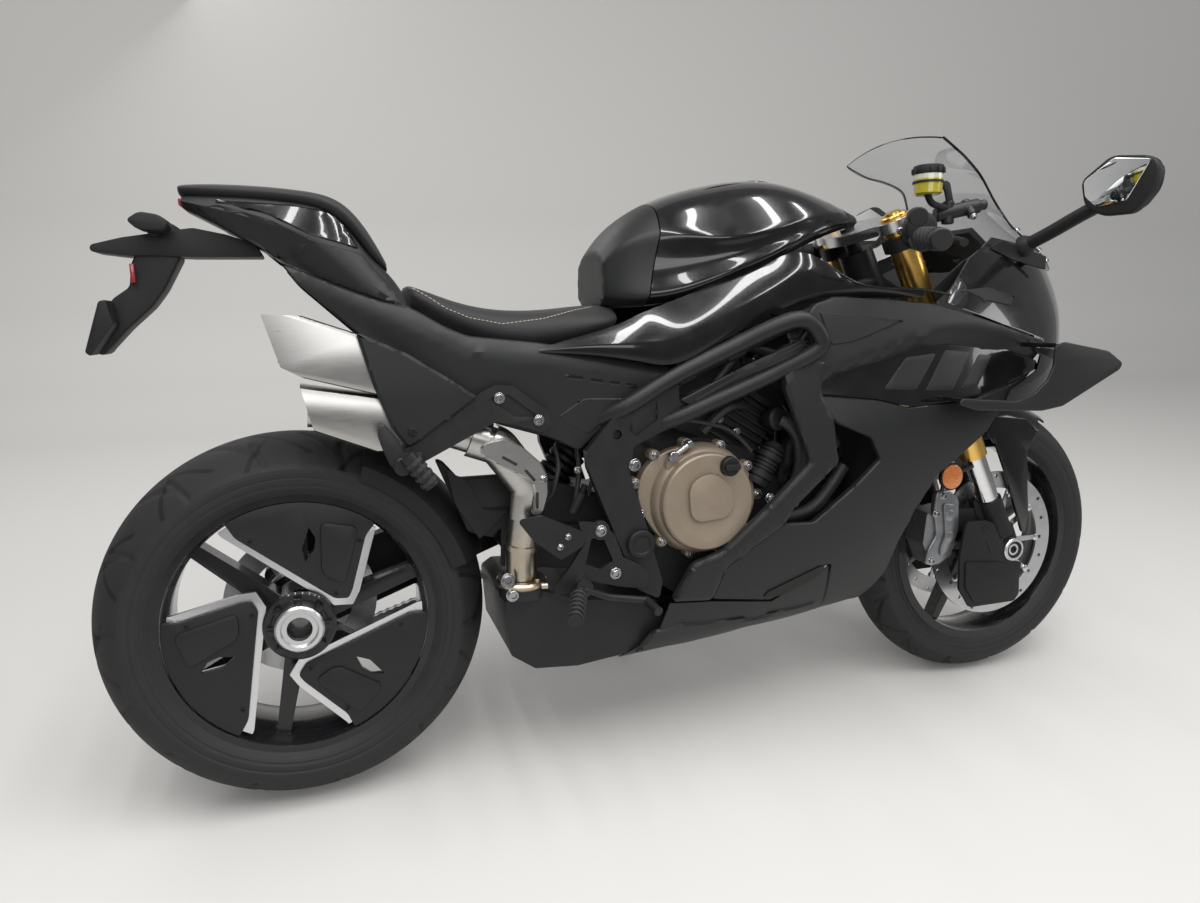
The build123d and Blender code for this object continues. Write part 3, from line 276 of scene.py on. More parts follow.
def tyre_rubber(name, axle, radius_out, half):
    """Rubber with a moulded sidewall and curved grooves across the tread, the grooves painted darker as painted
    shade.
    """
    f = Finish(name, specular_ior_level=0.4)
    radius, turn = f.around(axle)
    side = f.axes()[1].math("ABSOLUTE")
    cloud = f.noise(30)
    tread = (radius - (radius_out - 0.52 * half)).ramp(0, 6)
    # grooves: long slashes that sweep back from the middle, in a repeat round the tyre
    repeat = turn * (12 / math.tau)
    slash = (repeat + side * (0.9 / half)).math("FRACT").between(0.42, 0.50)
    cross = (repeat + 0.5 - side * (0.45 / half)).math("FRACT").between(0.45, 0.51)
    groove = (slash * side.between(0.18 * half, 0.80 * half)).math(
        "MAXIMUM", cross * side.between(0.34 * half, 0.98 * half)) * tread
    wall = 1.0 - tread
    rings = ((radius * 1.1).math("SINE") * 0.5 + 0.5) * wall * radius.below(radius_out - 0.42 * half)
    step = radius.between(radius_out - 0.66 * half, radius_out - 0.62 * half) * wall
    worn = f.blend(cloud, (0.0095, 0.0095, 0.010), (0.017, 0.017, 0.0175))
    # the grooves are painted near-black over the worn cloud: painted shade in the cuts
    f.set("base color", f.blend(groove, worn, (0.004, 0.004, 0.004)))
    f.set("roughness", 0.52 + 0.2 * cloud + 0.1 * tread)
    f.relief(1.0 - groove, 0.9, 0.004)
    f.relief(rings * 0.35 + step, 0.5, 0.001)
    f.relief(f.noise(1.5), 0.15, 0.0004)
    return f.material


def grip_rubber():
    f = Finish("grip_rubber")
    ribs = (f.axes()[1] * 1.3).math("SINE") * 0.5 + 0.5
    # the hollows between the ribs are painted darker than their crests: painted shade
    f.set("base color", f.blend(ribs, (0.010, 0.010, 0.010), (0.022, 0.022, 0.022)))
    f.set("roughness", 0.62 + 0.12 * f.noise(4, 2))
    f.relief(ribs, 0.4, 0.0012)
    return f.material


def lens(name, low, high):
    """Moulded reflector: small prisms under a glossy face."""
    f = Finish(name, coat_weight=1.0, coat_roughness=0.04)
    prisms = f.cells(3.2)
    f.set("base color", f.blend(prisms, low, high))
    f.set("roughness", 0.22 + 0.2 * prisms)
    f.relief(prisms, 0.5, 0.0008)
    return f.material


def brake_fluid():
    """Clear pot with yellow fluid up to about 1034 mm."""
    f = Finish("brake_fluid", transmission_weight=0.35, coat_weight=0.6, ior=1.45)
    f.set("base color", f.blend(f.axes()[2].ramp(1033, 1035), (0.42, 0.36, 0.02), (0.62, 0.62, 0.50)))
    f.set("roughness", 0.12 + 0.1 * f.noise(12, 2))
    return f.material


def radiator_core():
    f = Finish("radiator_core", metallic=0.6)
    _, y, z = f.axes()
    fins = (z * 2.1).math("SINE") * 0.5 + 0.5
    tubes = (y * 0.6).math("SINE") * 0.5 + 0.5
    # the gaps between fins and tubes are painted darker than their crests: painted shade
    f.set("base color", f.blend(fins * tubes, (0.012, 0.012, 0.013), (0.05, 0.05, 0.052)))
    f.set("roughness", 0.5 + 0.2 * fins)
    f.relief(fins * tubes, 0.5, 0.001)
    return f.material


# Finishes that only drift between two colours. Name: both colours, the roughness and its range, the
# size and detail of the cloud that both follow, the surface's settings, and bumps as (blob size in mm,
# detail or 0 for cells, strength, height in m).
MOTTLED = {
    "moulded_plastic": ((0.0065, 0.0065, 0.007), (0.012, 0.012, 0.0125), 0.46, 0.16, 40, 3,
                        {"specular_ior_level": 0.30}, (1.1, 0, 0.22, 0.0003)),
    "wheel_enamel": ((0.006, 0.006, 0.007), (0.012, 0.012, 0.013), 0.22, 0.12, 30, 3,
                     {"coat_weight": 0.8, "coat_roughness": 0.06, "coat_ior": 1.36,
                      "specular_ior_level": 0.2},
                     (5, 2, 0.04, 0.0004)),
    "powder_coat": ((0.0075, 0.0075, 0.008), (0.0135, 0.0135, 0.0145), 0.36, 0.14, 25, 3,
                    {"specular_ior_level": 0.34}, (1.3, 2, 0.22, 0.0004)),
    "gold_anodised": ((0.80, 0.47, 0.10), (0.90, 0.58, 0.17), 0.24, 0.1, 14, 3, {"metallic": 1.0},
                      (0.8, 2, 0.05, 0.0002)),
    "hard_chrome": ((0.72, 0.72, 0.73), (0.82, 0.82, 0.83), 0.08, 0.08, 12, 3, {"metallic": 1.0}),
    "seat_leather": ((0.009, 0.009, 0.0095), (0.016, 0.016, 0.0165), 0.52, 0.14, 35, 3,
                     {"sheen_weight": 0.05, "sheen_roughness": 0.5, "specular_ior_level": 0.35},
                     (2.2, 0, 0.4, 0.0006), (14, 3, 0.15, 0.0012)),
    "stitching": ((0.30, 0.25, 0.20), (0.42, 0.36, 0.29), 0.7, 0.2, 0.7, 2, {"sheen_weight": 0.3}),
    "smoked_screen": ((0.80, 0.82, 0.84), (0.86, 0.87, 0.89), 0.02, 0.0, 60, 2,
                      {"transmission_weight": 1.0, "ior": 1.38}),
    "silvered_glass": ((0.80, 0.82, 0.84), (0.86, 0.88, 0.90), 0.015, 0.02, 40, 2, {"metallic": 1.0}),
    "bright_bolt": ((0.36, 0.36, 0.365), (0.5, 0.5, 0.505), 0.2, 0.15, 4, 2, {"metallic": 1.0}),
    "caliper_grey": ((0.22, 0.225, 0.235), (0.31, 0.315, 0.325), 0.3, 0.12, 16, 3, {"metallic": 0.85},
                     (1.2, 2, 0.15, 0.0003)),
    "hose_rubber": ((0.010, 0.010, 0.010), (0.020, 0.020, 0.020), 0.42, 0.2, 10, 3, {},
                    (1.4, 2, 0.15, 0.0004)),
    # near-black finish for the slots, slits, axle recess and muffler mouths: painted shade in those openings, with
    # soot only in the mouths
    "soot_and_painted_shade": ((0.006, 0.006, 0.006), (0.020, 0.018, 0.016), 0.75, 0.2, 8, 3, {}),
}


def mottled(name):
    low, high, rough, drift, size, detail, settings, *bumps = MOTTLED[name]
    f = Finish(name, **settings)
    cloud = f.noise(size, detail)
    f.set("base color", f.blend(cloud, low, high))
    f.set("roughness", rough + drift * cloud)
    for blob, bump_detail, strength, height in bumps:
        pattern = f.noise(blob, bump_detail) if bump_detail else f.cells(blob, "SMOOTH_F1")
        f.relief(pattern, strength, height)
    return f.material


MATERIALS = {name: mottled(name) for name in MOTTLED}
MATERIALS |= {make.__name__: make() for make in (
    matte_paint, gloss_paint, cast_alloy, bronze_coat, machined_alloy, grip_rubber, brake_fluid,
                                                 radiator_core)}
MATERIALS |= {
    "front_disc_steel": turned_steel("front_disc_steel", FRONT_AXLE),
    "rear_disc_steel": turned_steel("rear_disc_steel", REAR_AXLE),
    "muffler_steel": stainless("muffler_steel"), "pipe_steel": stainless("pipe_steel", 0.9),
    "rear_rubber": tyre_rubber("rear_rubber", REAR_AXLE, REAR_R, REAR_HALF),
    "front_rubber": tyre_rubber("front_rubber", FRONT_AXLE, FRONT_R, FRONT_HALF),
    "amber_lens": lens("amber_lens", (0.42, 0.10, 0.012), (0.62, 0.19, 0.03)),
    "red_lens": lens("red_lens", (0.16, 0.003, 0.003), (0.26, 0.008, 0.008)),
    "clear_lens": lens("clear_lens", (0.03, 0.03, 0.035), (0.10, 0.10, 0.11)),
}

# finish: the nodes that have it
NODES_OF = {
    "rear_rubber": "rear_tyre", "front_rubber": "front_tyre", "front_disc_steel": "front_discs",
    "rear_disc_steel": "rear_disc rear_sprocket drive_chain", "wheel_enamel": "rear_rim front_rim",
    "matte_paint": "rear_wheel_covers side_fairings fairing_arms belly_pan tank_covers tail_side_panels "
                   "winglets",
    "gloss_paint": "front_fender nose_fairing fuel_tank tank_side_panels tail_cowl",
    "machined_alloy": "rear_spindle front_axle top_yoke",
    "gold_anodised": "fork_outer_tubes", "hard_chrome": "fork_stanchions",
    "cast_alloy": "fork_feet lower_yoke_stem swingarm_pivot engine",
    "powder_coat": "clip_ons side_stand frame_tubes pivot_plates subframe swingarm silencer_box rear_shock "
                   "footrests",
    "moulded_plastic": "bar_controls brake_reservoir brake_ducts muffler_cover hugger cockpit_panels "
                       "mirrors plate_hanger",
    "grip_rubber": "grips", "caliper_grey": "front_calipers", "amber_lens": "round_reflectors",
    "bronze_coat": "clutch_cover left_engine_covers", "radiator_core": "radiator", "pipe_steel": "link_pipe",
    "muffler_steel": "mufflers", "clear_lens": "headlamps", "seat_leather": "rider_seat passenger_seat",
    "smoked_screen": "windscreen", "silvered_glass": "mirror_glass", "red_lens": "tail_lamp",
}
for finish_name, node_names in NODES_OF.items():
    for node_name in node_names.split():
        slots = frame["nodes"][node_name].data.materials
        slots.clear()
        slots.append(MATERIALS[finish_name])


# ---- mesh building, all in upright millimetres ----
def as_object(bm, name):
    mesh = bpy.data.meshes.new(name)
    bm.to_mesh(mesh)
    bm.free()
    made = bpy.data.objects.new(name, mesh)
    bpy.context.scene.collection.objects.link(made)
    return made


def evaluated(made):
    """The object's mesh with its modifiers applied, as a new bmesh; the object goes."""
    graph = bpy.context.evaluated_depsgraph_get()
    bm = bmesh.new()
    mesh = bpy.data.meshes.new_from_object(made.evaluated_get(graph))
    bm.from_mesh(mesh)
    bpy.data.meshes.remove(mesh)
    bpy.data.objects.remove(made)
    return bm


def refined(bm, levels):
    """Catmull-Clark subdivision, creases kept."""
    made = as_object(bm, "refining")
    step = made.modifiers.new("smooth", "SUBSURF")
    step.levels = step.render_levels = levels
    return evaluated(made)


def carved(bm, tool, operation="DIFFERENCE"):
    """Exact boolean of two closed meshes; both are used up."""
    made, other = as_object(bm, "carving"), as_object(tool, "tool")
    step = made.modifiers.new("cut", "BOOLEAN")
    step.operation, step.object, step.solver = operation, other, "EXACT"
    result = evaluated(made)
    bpy.data.objects.remove(other)
    return result


def outline(points, radius=0.0, y=0.0):
    """Flat face over (x, z) points, its corners rounded."""
    bm = bmesh.new()
    bm.faces.new([bm.verts.new((x, y, z)) for x, z in points])
    if radius:
        bmesh.ops.bevel(bm, geom=bm.verts[:], offset=radius, affect="VERTICES", segments=4, profile=0.5,
                        material=-1, clamp_overlap=True)
    return bm


def prism(points, y_low, y_high, radius=0.0):
    """Closed solid over an outline of (x, z) points."""
    bm = outline(points, radius, y_low)
    grown = bmesh.ops.extrude_face_region(bm, geom=bm.faces[:])["geom"]
    top = [v for v in grown if isinstance(v, bmesh.types.BMVert)]
    bmesh.ops.translate(bm, vec=(0, y_high - y_low, 0), verts=top)
    bmesh.ops.recalc_face_normals(bm, faces=bm.faces[:])
    return bm


def plate(points, y_low, y_high, radius=4.0, edge=1.5, segments=2):
    """Prism with softened edges on both faces."""
    bm = prism(points, y_low, y_high, radius)
    rims = [e for e in bm.edges if abs(e.verts[0].co.y - e.verts[1].co.y) < 0.01]
    bmesh.ops.bevel(bm, geom=rims, offset=edge, affect="EDGES", segments=segments, profile=0.5, material=-1,
                    clamp_overlap=True)
    return bm


def gridded(bm, cell):
    """Cut the mesh into cells of about that size along x and z."""
    for axis, normal in ((0, (1, 0, 0)), (2, (0, 0, 1))):
        places = [v.co[axis] for v in bm.verts]
        low, high = min(places), max(places)
        steps = max(1, round((high - low) / cell))
        for i in range(1, steps):
            at = [0, 0, 0]
            at[axis] = low + (high - low) * i / steps
            bmesh.ops.bisect_plane(bm, geom=bm.verts[:] + bm.edges[:] + bm.faces[:], dist=0.05, plane_co=at,
                                   plane_no=normal)


def draped(points, height, rim=(3.5, 4.0), skirt=5.0, radius=5.0, cell=14.0):
    """Moulded panel over an (x, z) outline. Its face lies at y = height(x, z); rim is the chamfer's width
    and depth, skirt the panel's depth."""
    bm = outline(points, radius)
    if rim[0]:
        bmesh.ops.inset_region(bm, faces=bm.faces[:], thickness=rim[0], depth=0, use_boundary=True,
                               use_even_offset=True)
    gridded(bm, cell)
    for vert in bm.verts:
        vert.co.y = height(vert.co.x, vert.co.z) - (rim[1] if vert.is_boundary else 0.0)
    grown = bmesh.ops.extrude_face_region(bm, geom=bm.faces[:], use_keep_orig=True)["geom"]
    low = [v for v in grown if isinstance(v, bmesh.types.BMVert)]
    bmesh.ops.translate(bm, vec=(0, -skirt, 0), verts=low)
    bmesh.ops.recalc_face_normals(bm, faces=bm.faces[:])
    return bm


def hull(rows, creases=None):
    """Closed cage through rows of (x, ((z, half width), ...)). creases gives section points a sharpness."""
    creases = creases or {}
    bm = bmesh.new()
    rail = bm.verts.layers.int.new("rail")
    crease = bm.edges.layers.float.new("crease_edge")
    rings = []
    for x, sides in rows:
        points = [(x, width, z) for z, width in sides] + [(x, -width, z) for z, width in reversed(sides)]
        verts = [bm.verts.new(p) for p in points]
        for i, vert in enumerate(verts):
            vert[rail] = min(i, len(verts) - 1 - i)
        rings.append([bm.edges.new((a, b)) for a, b in zip(verts, verts[1:] + verts[:1])])
    for first, second in zip(rings, rings[1:]):
        bmesh.ops.bridge_loops(bm, edges=first + second)
    bmesh.ops.holes_fill(bm, edges=rings[0] + rings[-1], sides=0)
    for edge in bm.edges:
        a, b = edge.verts
        if abs(a.co.x - b.co.x) > 1 and a[rail] == b[rail]:
            edge[crease] = creases.get(a[rail], 0.0)
    for ring in (rings[0], rings[-1]):
        for edge in ring:
            edge[crease] = creases.get("ends", 1.0)
    bmesh.ops.recalc_face_normals(bm, faces=bm.faces[:])
    return bm


def smooth_hull(rows, creases=None):
    return refined(hull(rows, creases), 3)


def halved(bm, at, normal):
    """The part of a closed mesh behind a plane, closed again."""
    bmesh.ops.bisect_plane(bm, geom=bm.verts[:] + bm.edges[:] + bm.faces[:], dist=0.01, plane_co=at,
                           plane_no=normal, clear_outer=True)
    open_edges = [e for e in bm.edges if e.is_boundary]
    bmesh.ops.holes_fill(bm, edges=open_edges, sides=0)
    bmesh.ops.recalc_face_normals(bm, faces=bm.faces[:])
    return bm


def face_towards(bm, way, judged):
    """Turn an open shell so that the judged faces look mostly one way."""
    bmesh.ops.recalc_face_normals(bm, faces=bm.faces[:])
    if sum(f.normal.dot(Vector(way)) * f.calc_area() for f in judged) < 0:
        bmesh.ops.reverse_faces(bm, faces=bm.faces[:])


def sheet(rows, levels, wall, up=LEFT):
    """Smooth panel through rows of (x, y, z) points, with a wall thickness; up is its outer side."""
    bm = bmesh.new()
    grid = [[bm.verts.new(p) for p in row] for row in rows]
    for first, second in zip(grid, grid[1:]):
        for i in range(len(first) - 1):
            bm.faces.new((first[i], first[i + 1], second[i + 1], second[i]))
    face_towards(bm, up, bm.faces)
    bm = refined(bm, levels)
    bmesh.ops.solidify(bm, geom=bm.faces[:], thickness=wall)
    return bm


def flipped(bm):
    """The mesh's mirror image across the middle plane."""
    bmesh.ops.scale(bm, vec=(1, -1, 1), verts=bm.verts[:])
    bmesh.ops.reverse_faces(bm, faces=bm.faces[:])
    return bm


def joined(*parts):
    """All the meshes as one."""
    whole = bmesh.new()
    for part in parts:
        mesh = bpy.data.meshes.new("part")
        part.to_mesh(mesh)
        part.free()
        whole.from_mesh(mesh)
        bpy.data.meshes.remove(mesh)
    return whole


def both(*parts):
    """The meshes as one, with their mirror image across the middle plane."""
    bm = joined(*parts)
    return joined(bm.copy(), flipped(bm))


def aimed(bm, origin, axis):
    """The mesh moved so that its +Z points along axis from origin."""
    turn = Vector(axis).to_track_quat("Z", "Y").to_matrix().to_4x4()
    bmesh.ops.transform(bm, matrix=Matrix.Translation(origin) @ turn, verts=bm.verts[:])
    return bm


def lathe(profile, origin, axis, steps=64):
    """Turned piece from (distance along the axis, radius) corners."""
    bm = bmesh.new()
    verts = [bm.verts.new((radius, 0, along)) for along, radius in profile]
    edges = [bm.edges.new(pair) for pair in zip(verts, verts[1:])]
    bmesh.ops.spin(bm, geom=verts + edges, cent=(0, 0, 0), axis=(0, 0, 1), angle=math.tau, steps=steps,
                   use_merge=True)
    bmesh.ops.remove_doubles(bm, verts=bm.verts[:], dist=0.01)
    bmesh.ops.recalc_face_normals(bm, faces=bm.faces[:])
    return aimed(bm, origin, axis)


def rod(start, end, radius, sides=24, edge=0.0):
    """Round bar between two points."""
    start, end = Vector(start), Vector(end)
    length = (end - start).length
    edge = min(edge, radius * 0.4)
    profile = [(0, 0), (0, radius - edge), (edge, radius), (length - edge, radius), (length, radius - edge),
               (length, 0)]
    return lathe(profile if edge else [profile[0], (0, radius), (length, radius), profile[-1]], start,
                 end - start, sides)


def hose(points, radius):
    """Flexible pipe along a smooth curve through the points."""
    curve = bpy.data.curves.new("hose", "CURVE")
    curve.dimensions, curve.bevel_depth, curve.bevel_resolution = "3D", radius, 4
    curve.resolution_u, curve.use_fill_caps = 8, True
    line = curve.splines.new("NURBS")
    line.points.add(len(points) - 1)
    for point, place in zip(line.points, points):
        point.co = (*place, 1)
    line.order_u, line.use_endpoint_u = 3, True
    made = bpy.data.objects.new("hose", curve)
    bpy.context.scene.collection.objects.link(made)
    bm = evaluated(made)
    bpy.data.curves.remove(curve)
    bmesh.ops.recalc_face_normals(bm, faces=bm.faces[:])
    return bm


def ring(inner, outer, length, at, axis, sides=40, ease=(0, 0)):
    """Ring along an axis; ease is the length and depth of the taper at both ends."""
    along, deep = ease
    profile = [(0, inner), (0, outer - deep), (along, outer), (length - along, outer),
               (length, outer - deep)]
    return lathe(profile + [(length, inner), (0, inner)], at, axis, sides)


def turns(count):
    """The angles of an even ring, in radians."""
    return [math.tau * i / count for i in range(count)]


def bolt(at, axis, radius, height=5.0, washer=True):
    """Cap bolt with a hexagon socket; at is on the surface under its washer."""
    foot = 1.5 if washer else 0.0
    wide = radius * 1.35
    profile = [(-2, 0), (-2, wide), (foot - 0.4, wide), (foot, wide - 0.5)] if washer else [(-2, 0)]
    profile += [(foot, radius), (foot + height - 0.8, radius), (foot + height, radius - 0.8),
                (foot + height, radius * 0.55)]
    head = lathe(profile, (0, 0, 0), (0, 0, 1), 20)
    socket = bmesh.new()
    bmesh.ops.create_circle(socket, cap_ends=True, segments=6, radius=radius * 0.55)
    bmesh.ops.translate(socket, vec=(0, 0, foot + height - 2.2), verts=socket.verts[:])
    return aimed(joined(head, socket), at, axis)


SOFT_ANGLE = 40    # edges sharper than this, in degrees, are rounded


def show(name, bm, finish, body="chassis", replaces=(), smooth=32, bevel=0.0):
    """Turn a mesh, or a list of them, into a finished piece that rides on a body; bevel rounds its edges."""
    if isinstance(bm, list):
        bm = joined(*bm)
    bmesh.ops.transform(bm, matrix=TO_ROW, verts=bm.verts[:])
    made = as_object(bm, name)
    made.data.polygons.foreach_set("use_smooth", [True] * len(made.data.polygons))
    made.data.set_sharp_from_angle(angle=math.radians(smooth))
    made.data.materials.append(MATERIALS[finish])
    if bevel:
        step = made.modifiers.new("edge", "BEVEL")
        step.width, step.segments, step.limit_method = bevel / 1000, 2, "ANGLE"
        step.angle_limit = math.radians(SOFT_ANGLE)
    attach(made, body)
    if replaces:
        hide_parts(*replaces)
    return made


def panels(name, shapes, over, lift, finish, rim=(2.5, 3), skirt=6, radius=5.0, cell=14.0, **rest):
    """Moulded panels on both flanks, over (x, z) outlines, lift mm proud of the surface y = over(x, z)."""
    pieces = [draped(shape, lambda x, z: over(x, z) + lift, rim, skirt, radius, cell) for shape in shapes]
    show(name, both(*pieces), finish, **rest)


def softened(node, width):
    """The node's own shape with its edges rounded by width mm, in place of the node."""
    bm = bmesh.new()
    bm.from_mesh(frame["nodes"][node].data)
    bmesh.ops.remove_doubles(bm, verts=bm.verts[:], dist=0.00001)
    bmesh.ops.dissolve_limit(bm, angle_limit=math.radians(0.5), verts=bm.verts[:], edges=bm.edges[:])
    bmesh.ops.transform(bm, matrix=TO_ROW.inverted(), verts=bm.verts[:])
    finish = next(finish for finish, nodes in NODES_OF.items() if node in nodes.split())
    show(node + "_finished", bm, finish, BODY_OF[node], [node], smooth=SOFT_ANGLE, bevel=width)


class Skin:
    """Smooth hull through rows, asked for its half width at (x, z)."""

    def __init__(self, rows, creases=None):
        bm = smooth_hull(rows, creases)
        self.tree = BVHTree.FromBMesh(bm)
        bm.free()

    def width(self, x, z):
        """Half width at (x, z), or at the nearest height that the hull reaches there."""
        for i in range(40):
            for lift in (2 * i, -2 * i):
                hit = self.tree.ray_cast(Vector((x, 600, z + lift)), Vector((0, -1, 0)))[0]
                if hit:
                    return hit.y
        return self.tree.find_nearest(Vector((x, 150, z)))[0].y


def level(points, x):
    """Height at x of a line through (x, z) points."""
    if x <= points[0][0]:
        return points[0][1]
    for (xa, za), (xb, zb) in zip(points, points[1:]):
        if x <= xb:
            return za + (zb - za) * (x - xa) / (xb - xa)
    return points[-1][1]


def eased(value, low, high):
    """Smooth step from 0 at low to 1 at high."""
    t = min(max((value - low) / (high - low), 0.0), 1.0)
    return t * t * (3 - 2 * t)


# ---- fairing ----
# Outer surface of the fairing: x, then (z, half width) from bottom to top
FAIRING = [
    (440, ((180, 120), (205, 150), (260, 165), (340, 168), (800, 168), (900, 140), (1000, 120))),
    (600, ((180, 110), (215, 150), (300, 180), (400, 190), (800, 190), (900, 160), (1000, 120))),
    (800, ((200, 110), (230, 150), (330, 195), (500, 220), (800, 200), (900, 170), (1000, 120))),
    (1000, ((215, 110), (255, 150), (380, 215), (560, 250), (760, 245), (880, 190), (1000, 120))),
    (1150, ((215, 110), (300, 150), (440, 225), (600, 260), (760, 256), (880, 190), (1000, 120))),
    (1300, ((300, 110), (420, 190), (540, 235), (660, 252), (760, 243), (880, 180), (1000, 110))),
    (1450, ((420, 90), (540, 160), (620, 188), (690, 196), (780, 184), (880, 134), (1000, 72))),
    (1530, ((520, 50), (620, 88), (690, 108), (750, 118), (800, 116), (870, 84), (940, 36))),
    (1580, ((600, 22), (660, 44), (700, 58), (750, 68), (800, 66), (850, 46), (900, 18))),
    (1606, ((690, 9), (712, 18), (740, 26), (770, 30), (805, 28), (835, 20), (856, 8))),
]
BAND = [(868, 800), (886, 820), (926, 831), (1034, 826), (1131, 815), (1279, 772), (1398, 740), (1371, 697),
        (1336, 705), (1268, 726), (1203, 735), (1146, 742), (1085, 737), (1021, 719), (940, 698),
        (890, 673), (876, 700)]
BAND_FOLD = [(873, 680), (906, 700), (980, 728), (1078, 764), (1144, 780), (1187, 786), (1232, 780),
             (1398, 735)]
BAND_FOOT = [(873, 671), (940, 698), (1021, 719), (1085, 737), (1146, 742), (1203, 735), (1268, 726),
             (1371, 695)]
GLOSS_FOOT = [(1371, 690), (1290, 664), (1200, 644), (1056, 636), (1000, 651), (886, 664)]
FLANK = [(886, 662), (1000, 649), (1056, 634), (1200, 642), (1290, 662), (1365, 692), (1272, 621),
         (1231, 572), (1135, 502), (1102, 435), (1086, 368), (1085, 300), (1054, 232), (1015, 204),
         (962, 200), (937, 344), (886, 313), (825, 279), (700, 300), (719, 361), (825, 435), (885, 432),
         (962, 497), (1006, 543), (985, 583), (917, 613)]
BELLY_SLOT = [(805, 289), (812, 300), (914, 341), (930, 336), (908, 316), (846, 288)]
CHIN = [(1286, 656), (1365, 686), (1398, 743), (1458, 712), (1458, 690), (1446, 674), (1424, 656),
        (1402, 645), (1369, 629), (1331, 616), (1268, 621)]
INTAKE_PANEL = [(1334, 748), (1400, 737), (1480, 722), (1472, 698), (1420, 706), (1370, 718)]
BARS = [[(1012, 668), (1074, 664), (1124, 728), (1060, 722)], [(1092, 662), (1150, 660), (1202, 727),
                                                               (1144, 733)],
        [(1168, 660), (1206, 662), (1252, 719), (1220, 723)]]
TRIANGLE = [(888, 808), (1050, 788), (946, 752), (906, 748)]
ARM = [(824, 720), (850, 733), (896, 722), (886, 668), (912, 612), (914, 575), (923, 543), (900, 521),
       (839, 461), (829, 437), (719, 361), (700, 300), (622, 307), (657, 375), (713, 394), (793, 469),
       (869, 546), (858, 577), (821, 681)]
BELLY = [(536, 199), (616, 190), (692, 186), (814, 181), (910, 189), (960, 198), (932, 340), (886, 311),
         (825, 277), (700, 297), (618, 304), (600, 240)]
NOSE = [(1150, 818), (1279, 776), (1400, 744), (1456, 706), (1520, 680), (1584, 694), (1612, 740),
        (1612, 850), (1540, 886), (1469, 925), (1333, 944), (1240, 900), (1169, 842)]
HEADLAMP = [(1462, 706), (1560, 726), (1604, 746), (1606, 768), (1530, 752), (1456, 730)]
SCOOP = [(1186, 842), (1262, 848), (1333, 828), (1308, 806), (1240, 818)]
BELLY_RIDGE = [(560, 205), (700, 196), (900, 200), (945, 215), (930, 262), (800, 246), (640, 262),
               (590, 250)]
STAND_SLOT = [(572, 150), (676, 150), (676, 335), (572, 335)]


def narrowed(rows, by):
    return [(x, tuple((z, max(width - by, 2)) for z, width in sides)) for x, sides in rows]


FAIRING_SKIN = Skin(FAIRING)


def band_height(x, z):
    """The shoulder band rolls under along its lower edge."""
    fold, foot = level(BAND_FOLD, x), level(BAND_FOOT, x)
    return FAIRING_SKIN.width(x, z) + 2 - 20 * eased(fold - z, 0, fold - foot + 2)


def flank_height(x, z):
    """The flank lies deeper under the shoulder band."""
    hollow = eased(z, 590, level(BAND_FOOT, x)) * (1 - eased(x, 1240, 1390))
    return FAIRING_SKIN.width(x, z) - 2 - 17 * hollow


def fairing_sides():
    gloss = [(x, z + 9) for x, z in BAND_FOOT] + GLOSS_FOOT
    panels("fairing_bands", [BAND], band_height, 0, "matte_paint", skirt=8, replaces=["side_fairings"])
    panels("fairing_gloss_flanks", [gloss], flank_height, 0, "gloss_paint", (1, 0.4), 3)
    panels("fairing_flanks", [FLANK], flank_height, 0, "matte_paint", skirt=10)
    panels("fairing_flank_bars", BARS, flank_height, 0.7, "matte_paint", (0.8, 0.3), 0.6, 6, 12)
    # near-black panel over the belly slot: painted shade in the opening
    panels("belly_slot_painted_shade", [BELLY_SLOT], flank_height, 3.2, "soot_and_painted_shade", (1, 0.4), 1.5, 3, 8)
    panels("fairing_corner_panels", [TRIANGLE], band_height, 2.0, "moulded_plastic", skirt=3)
    panels("fairing_arm_mouldings", [ARM], FAIRING_SKIN.width, 5, "matte_paint", (7, 5), 12, 9,
           replaces=["fairing_arms"], smooth=45)
    screen = plate([(892, 398), (1008, 398), (1008, 520), (892, 500)], 118, 122, 4, 1)
    show("radiator_side_screens", both(screen), "moulded_plastic")


def fairing_shell(shape):
    """The fairing's skin, 4 mm thick, inside an (x, z) outline."""
    return carved(carved(smooth_hull(FAIRING), prism(shape, -300, 300), "INTERSECT"),
                  smooth_hull(narrowed(FAIRING, 4.0)))


def belly():
    pan = carved(fairing_shell(BELLY), prism(STAND_SLOT, 60, 300))
    show("belly_moulding", pan, "matte_paint", replaces=["belly_pan"])
    ridge = draped(BELLY_RIDGE, lambda x, z: FAIRING_SKIN.width(x, z) + 4, (8, 6), 5, 8)
    show("belly_ridges", flipped(ridge), "matte_paint")


def nose():
    shell = fairing_shell(NOSE)
    glass = carved(smooth_hull(narrowed(FAIRING, 3.0)), smooth_hull(narrowed(FAIRING, 9.0)))
    lenses = []
    for side in (1, -1):
        shell = carved(shell, prism(HEADLAMP, *sorted((20 * side, 140 * side))))
        cutter = prism(HEADLAMP, *sorted((20 * side, 150 * side)))
        lenses.append(carved(glass.copy(), cutter, "INTERSECT"))
    show("nose_moulding", shell, "gloss_paint", replaces=["nose_fairing"])
    show("headlamp_lenses", lenses, "clear_lens", replaces=["headlamps"])
    show("nose_chin", fairing_shell(CHIN), "gloss_paint")
    panels("nose_intake_panels", [INTAKE_PANEL], FAIRING_SKIN.width, 1.5, "moulded_plastic", (2, 2), 2)
    panels("nose_scoops", [SCOOP], FAIRING_SKIN.width, 2, "moulded_plastic", (5, 4), 4)


# ---- windscreen ----
# x, half width, height at the edge, height in the middle
SCREEN = [(1186, 152, 1120, 1142), (1230, 148, 1096, 1122), (1262, 130, 1088, 1108),
          (1300, 116, 1070, 1092), (1316, 116, 1053, 1078), (1338, 130, 1002, 1048), (1364, 148, 956, 1021),
          (1450, 142, 912, 960), (1556, 58, 884, 890)]


